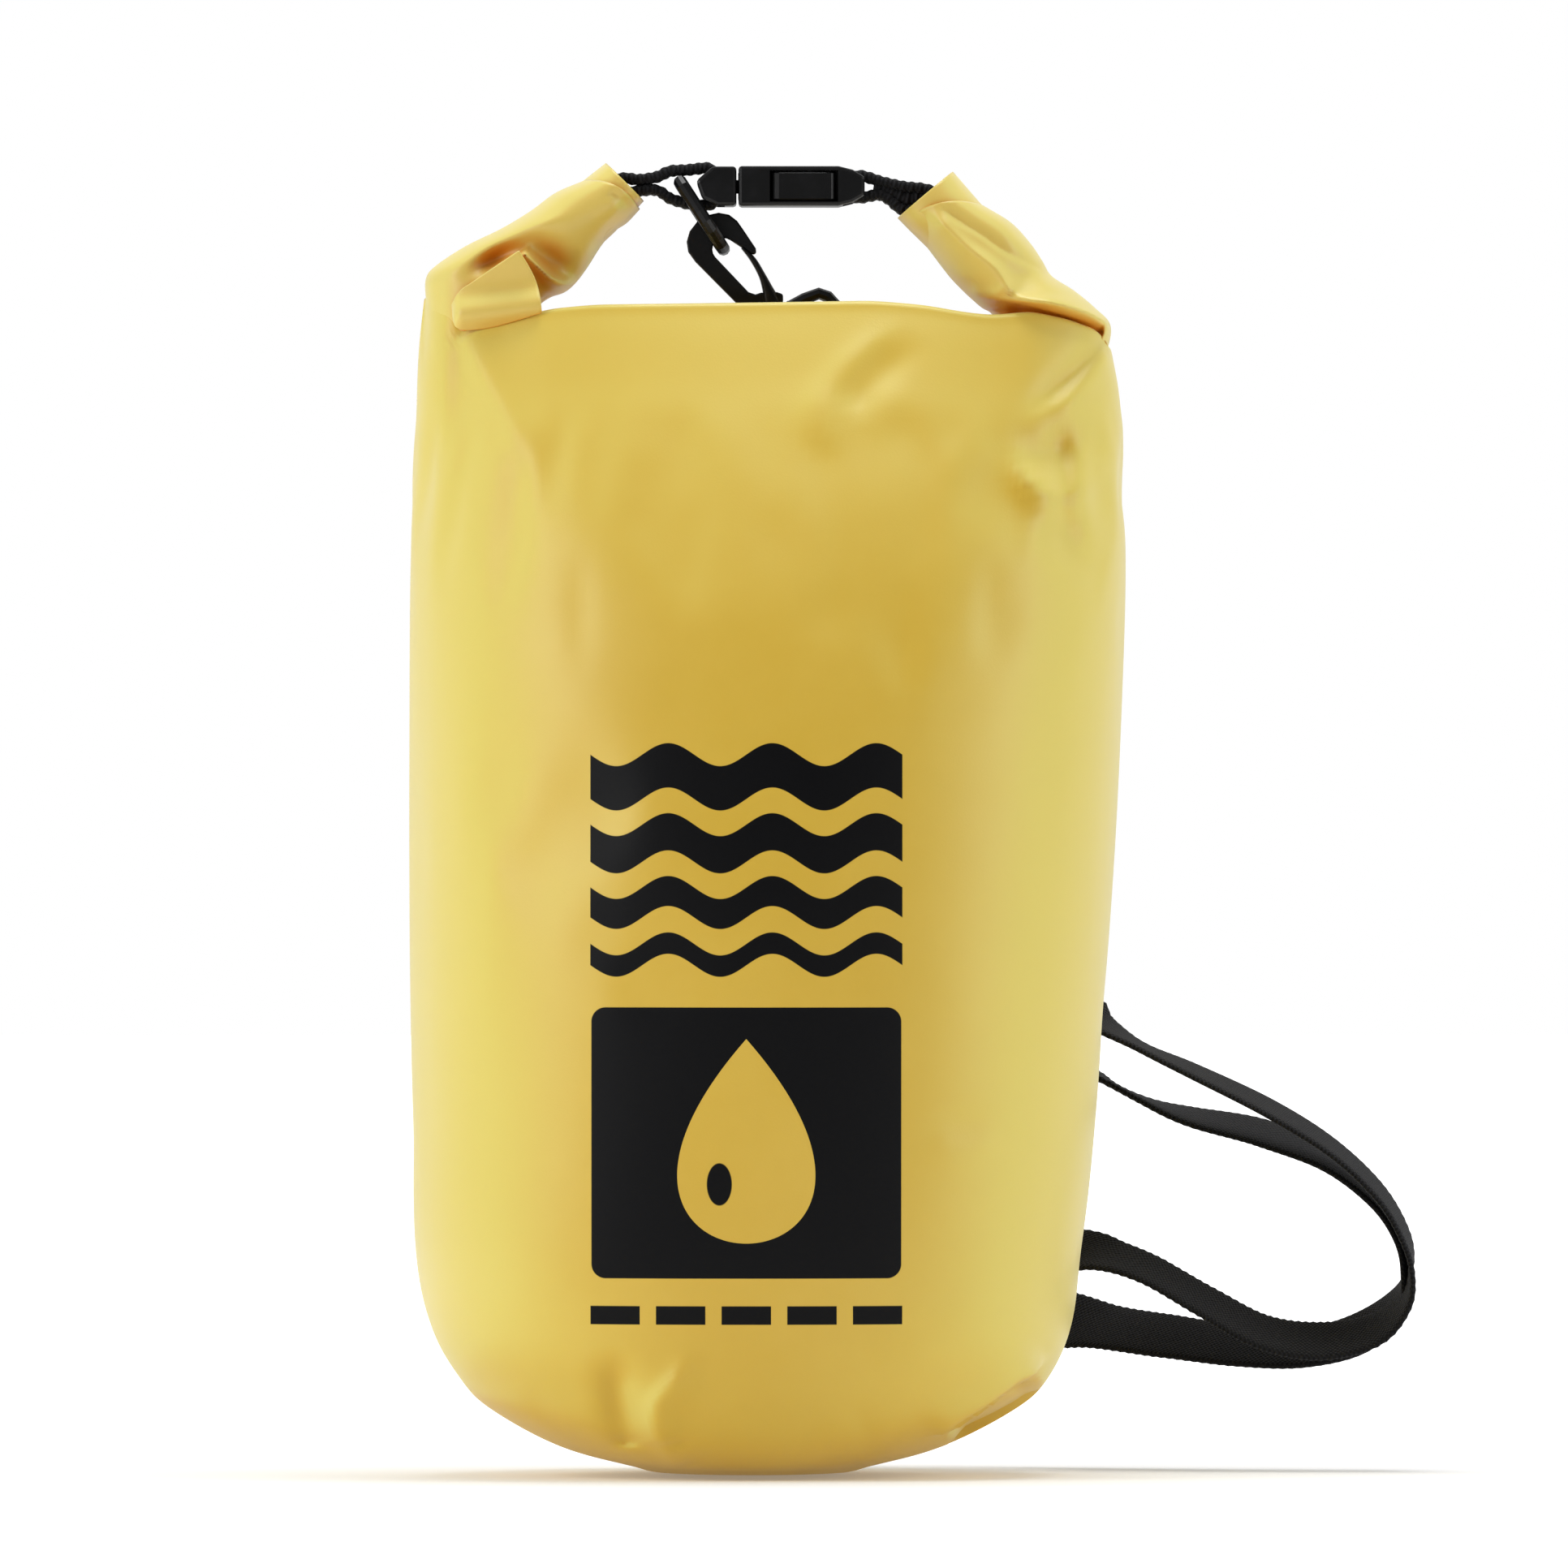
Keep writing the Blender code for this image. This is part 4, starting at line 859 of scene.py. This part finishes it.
FAR_STRAP = (
    (27.4, 53, 292, 1, 0, 0),
    (28, 55, 287, 1, 0, 0.05),
    (31, 79, 262, 1, 0, 0),
    (31, 95, 232, 0.98, -0.2, 0),
    (40, 97, 196, 0.9, -0.3, 0.1),
    (58, 92, 158, 0.7, -0.5, 0.2),
    (74, 84, 131, 0.4, -0.2, 0.7),
    (86, 78, 116, 0.1, 0.95, 0.25),
    (95, 74, 110.3, 0, 0.99, 0.04),
    (106, 72, 104.8, 0, 0.99, 0.05),
    (120, 69, 100, 0, 0.96, 0.24),
    (140, 66, 95.4, 0, 0.93, 0.36),
    (158, 60, 88, 0, 0.94, 0.33),
    (171, 57, 77.5, 0, 0.95, 0.28),
    (178.5, 57, 66.5, 0.1, 0.98, 0.12),
    (180.6, 57, 56.5, 0.1, 0.98, 0.06),
    (177.4, 58, 47, -0.1, 0.93, 0.33),
    (167.5, 59, 38.6, -0.22, 0.85, 0.48),
    (152, 61, 34.6, -0.05, 0.84, 0.52),
    (134, 65, 34.8, 0, 0.84, 0.52),
    (114, 72, 37.4, 0, 0.83, 0.55),
    (94, 82, 40.2, 0, 0.81, 0.56),
    (76, 93, 43, 0, 0.5, 0.85),
    (50, 104, 49, 0, 0.1, 1),
    (24, 109, 55, 0, 0, 1),
    (2, 106, 58, 0, 0, 1),
    (-18, 100.5, 58, 0, 0, 1),
    (-27, 98.5, 58, 0, 0, 1),
)
STRAP_SPLIT = 0.52     # the share of a strap that goes into its upper length


def make_straps(material):
    """Both shoulder straps, each in an upper and a lower length."""
    made = []
    for name, stations in (("strap_near", NEAR_STRAP), ("strap_far", FAR_STRAP)):
        made.append(strip(name + "_upper", stations, material, part=(0, STRAP_SPLIT)))
        made.append(strip(name + "_lower", stations, material, part=(STRAP_SPLIT, 1)))
    return made


def joint_named(name):
    """(place in millimetres, axis) of a CAD joint."""
    joint = next(j for j in frame["joints"] if j["name"] == name)
    return Vector(joint["pos_m"]) / MM, Vector(joint["axis"]).normalized()


def make_harness_loop(material):
    """The doubled web through the swivel's eye, over the roll to where both straps are sewn on."""
    bar_below_hook = 20.5
    hook, up = joint_named("hook_spin")
    level = Vector((up.z, 0, -up.x))
    bar = hook - up * bar_below_hook
    width = tuple(level)

    def by_bar(beyond, depth):
        return (*(bar - up * beyond + Vector((0, depth, 0))), *width)

    stations = [
        (27.5, 50.6, 283.0, 1, 0, 0.0),
        (27.0, 49.5, 290.0, 1, 0, 0.0),
        (25.0, 43.0, 300.0, 1, 0, 0.1),
        (22.0, 30.0, 308.2, 0.95, 0, 0.25),
        (18.8, 15.0, 310.2, 0.85, 0, 0.45),
        by_bar(5.0, 4.2), by_bar(1.0, 3.8), by_bar(-3.4, 3.1), by_bar(-5.5, 0.0), by_bar(-3.4, -3.1),
        by_bar(1.0, -3.8), by_bar(6.0, -4.6), by_bar(10.0, -4.2),
    ]
    return strip("harness_web", stations, material, half=9.0, thick=1.9, nub=0.24)


def lock_frame(side):
    """A ladder lock's own axes: middle, the way its strap runs, and out from the bag."""
    low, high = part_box("ladder_lock_" + side)
    middle = (low + high) / 2 / MM
    hinge, _ = joint_named("lock_tilt_" + side)
    ahead = (middle - hinge).normalized()
    out = ahead.cross(Vector((0, 0, 1))) * -1
    return middle, ahead, out


def folded_end(name, side, profile, material):
    """Webbing folded round a bar of a ladder lock; profile holds (along, out) from its middle."""
    middle, ahead, out = lock_frame(side)
    stations = [(*(middle + ahead * a + out * c), 0, 0, 1) for a, c in profile]
    return strip(name, stations, material, thick=1.5)


TAB = ((-27.0, -7.3), (-20.0, -6.0), (-13.0, -4.4), (-9.0, -3.1), (-6.0, -2.5), (-5.3, 0.0),
       (-6.4, 2.7), (-9.0, 3.0), (-12.5, 0.6), (-17.0, -3.2), (-22.0, -4.9), (-27.0, -5.8))
STRAP_END = ((26.0, -1.5), (19.0, -2.2), (12.0, -2.9), (8.0, -3.0), (5.6, -2.4), (5.1, 0.2),
             (5.8, 2.7), (8.2, 3.2), (12.0, 2.7), (19.0, 1.5), (26.0, 0.9))


def back_skin_y(body, x, z):
    """How far back the body's skin is at x, z, in millimetres."""
    hit, place, _, _ = body.ray_cast(Vector((x, 300, z)) * MM, Vector((0, -1, 0)))
    return place.y / MM


def make_patch(body, material):
    """The reinforcing panel welded to the back, with a pressed weld line inside its edge."""
    low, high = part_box("anchor_patch")
    middle, half = (low + high) / 2 / MM, (high - low) / 2 / MM
    rings = []
    for v in np.linspace(-1, 1, 44):
        ring = []
        for u in np.linspace(-1, 1, 110):
            x = middle.x + half.x * u * (1 - 0.05 * abs(v)**10)
            z = middle.z + half.z * v * (1 - 0.14 * abs(u)**22)
            inset = min(half.x * (1 - abs(u)), half.z * (1 - abs(v)))
            weld = 0.45 * math.exp(-((inset - 3.2) / 1.1)**2)
            edge = 0.9 * math.exp(-inset / 0.7)
            ring.append((x, back_skin_y(body, x, z) + 1.35 - weld - edge, z))
        rings.append(ring)
    patch = skin("patch_skin", rings, material, closed=False)
    thicken(patch, 1.1)
    apply_all(patch)
    return patch


# ---- stitching ----
STITCH, STITCH_GAP, THREAD = 2.2, 1.0, 0.32


def thread(name, runs, material):
    """Rows of stitches. Each run is a list of points in millimetres that the thread follows."""
    rings, faces = [], []
    around = np.linspace(0, 2 * np.pi, 6, endpoint=False)
    for run in runs:
        steps = np.r_[0, np.cumsum(np.linalg.norm(np.diff(np.array(run, float), axis=0), axis=1))]
        for first in np.arange(0.3, steps[-1] - STITCH, STITCH + STITCH_GAP):
            shares = first + STITCH * np.array([0, 0.12, 0.5, 0.88, 1])
            spine = np.column_stack([np.interp(shares, steps, c) for c in np.array(run, float).T])
            ahead = Vector(spine[-1] - spine[0]).normalized()
            side = ahead.orthogonal().normalized()
            other = ahead.cross(side)
            base = len(rings)
            for point, radius in zip(spine, (0.08, 0.85, 1.0, 0.85, 0.08)):
                for a in around:
                    offset = side * math.cos(a) + other * math.sin(a)
                    rings.append(Vector(point) + offset * (THREAD * radius))
            for r in range(4):
                for c in range(6):
                    d = (c + 1) % 6
                    faces.append((base + r * 6 + c, base + r * 6 + d,
                                  base + r * 6 + 6 + d, base + r * 6 + 6 + c))
            faces.append(tuple(base + c for c in range(6))[::-1])
            faces.append(tuple(base + 24 + c for c in range(6)))
    mesh = bpy.data.meshes.new(name)
    mesh.from_pydata([tuple(p * MM) for p in rings], [], faces)
    mesh.shade_smooth()
    return new_object(name, mesh, material)


def box_and_cross(corner, other, depth_at):
    """A stitched box with a cross in it, between two corners (x, z)."""
    (x0, z0), (x1, z1) = corner, other
    outline = [(x0, z0), (x1, z0), (x1, z1), (x0, z1), (x0, z0)]
    runs = []
    for a, b in [*zip(outline, outline[1:]), (outline[0], outline[2]), (outline[1], outline[3])]:
        points = [(a[0] + (b[0] - a[0]) * t, a[1] + (b[1] - a[1]) * t) for t in np.linspace(0, 1, 9)]
        runs.append([(x, depth_at(x, z), z) for x, z in points])
    return runs


# ---- stage ----
def area_light(name, place, target, size, power):
    """A soft box at place, in metres, that faces target."""
    data = bpy.data.lights.new(name, "AREA")
    data.shape = "RECTANGLE"
    data.size, data.size_y = size
    data.energy = power
    lamp = bpy.data.objects.new(name, data)
    bpy.context.scene.collection.objects.link(lamp)
    lamp.location = place
    lamp.rotation_euler = (Vector(target) - Vector(place)).to_track_quat("-Z", "Y").to_euler()


def make_stage():
    """A pale floor that brightens into the white background and glows faintly, a painted light on the
    bag from below, and three soft boxes.
    """
    n = Nodes(bpy.data.materials.new("studio_floor"))
    place = n.add("TexCoord").outputs["Object"]
    away = n.add("VectorMath", {"operation": "LENGTH"}, **{"0": place}).outputs["Value"]
    seen = n.add("LightPath").outputs["Is Camera Ray"]
    # painted light: the floor glows faintly for every ray, lighting the bag from below, and fully for
    # the camera away from the bag
    glow = n.math("MAXIMUM", n.times(n.ramp(away, 0.10, 0.5), seen), 0.18)
    n.shade(Base_Color=(0.9, 0.9, 0.9, 1), Roughness=0.9, Specular_IOR_Level=0.1,
            Emission_Color=(1, 1, 1, 1), Emission_Strength=n.times(glow, 0.9))
    corners = [[(x, y, -0.3) for x in (-9000, 9000)] for y in (-4000, 14000)]
    skin("studio_floor", corners, n.owner, closed=False)
    make_world()
    middle = (0, 0, 0.19)
    area_light("softbox_left", (-1.4, -0.75, 0.7), middle, (0.5, 1.2), 10.5)
    area_light("softbox_right", (1.5, -0.45, 0.6), middle, (0.5, 1.2), 6.5)
    area_light("softbox_top", (0.1, 0.1, 1.5), middle, (0.9, 0.5), 9)


def make_world():
    """White all round, darker behind the camera, so that the bag's middle is its darkest part."""
    n = Nodes(bpy.data.worlds.new("studio"), "Background")
    place = n.add("TexCoord").outputs["Generated"]
    darkest = Vector((0.22, -0.97, -0.12)).normalized()
    toward = n.add("VectorMath", {"operation": "DOT_PRODUCT"}, **{"0": place, "1": darkest})
    dark = n.ramp(toward.outputs["Value"], 0.1, 1.0)
    level = n.minus(0.66, n.times(dark, 0.56))
    seen = n.add("LightPath").outputs["Is Camera Ray"]
    n.shade(Color=(1, 1, 1, 1), Strength=n.math("MAXIMUM", level, seen))
    bpy.context.scene.world = n.owner
    bpy.context.scene.view_settings.view_transform = "Standard"


def make_camera():
    """A long lens, level with the middle of the bag. wide is how much it sees across the bag."""
    data = bpy.data.cameras.new("front_camera")
    data.sensor_width = 36.0
    distance, wide = 8.0, 0.4417
    data.lens = data.sensor_width * distance / wide
    camera = bpy.data.objects.new("front_camera", data)
    bpy.context.scene.collection.objects.link(camera)
    camera.location = (0.0042, -distance, 0.1945)
    camera.rotation_euler = (math.pi / 2, 0, 0)
    bpy.context.scene.camera = camera


# ---- assembly ----
def make_roll(fabric):
    """The rolled neck with its two upturned ends."""
    left = [make_left_arm(fabric), make_left_mouth(fabric)]
    right = [make_right_arm(fabric), make_right_mouth(fabric)]
    for tube in (*left, *right):
        thicken(tube, FABRIC)
        apply_all(tube)
    left.append(make_left_corner(fabric))
    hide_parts("roll_left", "stiffener_left", "roll_centre", "stiffener_centre")
    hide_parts("roll_right", "stiffener_right")
    for piece in left:
        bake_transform(piece)
    for piece in right:
        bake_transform(piece)


def make_closure(web, plastic):
    """The webs between the roll's ends and the buckle, and the hook's gate."""
    gate = make_gate(plastic)
    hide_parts("hook_gate")
    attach(gate, "gate")
    web_left, web_right, web_tail = make_buckle_webs(web)
    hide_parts("buckle_web_left")
    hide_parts("buckle_web_right")
    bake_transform(web_left)
    for piece in (web_right, web_tail):
        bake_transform(piece)


def make_harness(body, web, fabric):
    """Both shoulder straps, the loop that hangs them on the hook, and their anchors on the back."""
    near_upper, near_lower, far_upper, far_lower = make_straps(web)
    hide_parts("shoulder_strap_near")
    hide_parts("shoulder_strap_far")
    for piece in (near_upper, far_upper):
        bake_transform(piece)
    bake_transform(near_lower)
    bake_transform(far_lower)

    loop = make_harness_loop(web)
    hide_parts("harness_loop")
    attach(loop, "harness_top")
    joint = thread("stitches_joint", box_and_cross((20.5, 280.5), (34.0, 288.5), joint_depth), web)
    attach(joint, "harness_top")

    patch = make_patch(body, fabric)
    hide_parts("anchor_patch")
    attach(patch, "root")
    webs = [near_upper, near_lower, far_upper, far_lower, loop, joint]
    for side in ("near", "far"):
        tab = folded_end("tab_" + side, side, TAB, web)
        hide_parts("anchor_tab_" + side)
        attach(tab, "root")
        end = folded_end("folded_end_" + side, side, STRAP_END, web)
        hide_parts("strap_end_" + side)
        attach(end, side + "_lock")
        middle, ahead, out = lock_frame(side)
        rows = []
        for a, c in ((-18.0, -2.0), (-23.5, -4.3)):
            place = middle + ahead * a + out * c
            rows.append([tuple(place + Vector((0, 0, h))) for h in (-8.0, 8.0)])
        stitches = thread("stitches_tab_" + side, rows, web)
        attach(stitches, "root")
        webs += [tab, end, stitches]


def joint_depth(x, z):
    """Just outside the straps where they are sewn together."""
    return 57.6 + (285 - z) * 0.95


def soften_edges(node):
    """Rounds a moulded part's sharp edges a little, so that they catch the light."""
    flat = node.modifiers.new("merge_flats", "DECIMATE")
    flat.decimate_type = "DISSOLVE"
    flat.angle_limit = math.radians(1)
    bevel = node.modifiers.new("soft_edges", "BEVEL")
    bevel.width = 0.35 * MM
    bevel.segments = 2
    bevel.limit_method = "ANGLE"
    bevel.angle_limit = math.radians(32)
    bevel.harden_normals = True


def main():
    fabric = coated_fabric("yellow_skin")
    # painted highlight: the rolled ends get a paler, lit copy of the skin
    rolled = coated_fabric("yellow_skin_rolled_lit", pale=0.25)
    printed = coated_fabric("yellow_skin_printed", printed=True)
    web = webbing("woven_black")
    plastic = moulded_plastic("moulded_black")

    for node in frame["nodes"].values():
        node.data.materials.clear()
        node.data.materials.append(plastic)
        node.data.shade_smooth()
        node.data.set_sharp_from_angle(angle=math.radians(32))
    for name in ("buckle_plug", "buckle_socket", "hook_body", "prong_front", "prong_rear"):
        soften_edges(frame["nodes"][name])

    body = make_body(printed)
    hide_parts("sleeve", "base_panel")
    make_harness(body, web, fabric)
    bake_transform(body)
    make_roll(rolled)
    make_closure(web, plastic)

    make_stage()
    make_camera()


main()
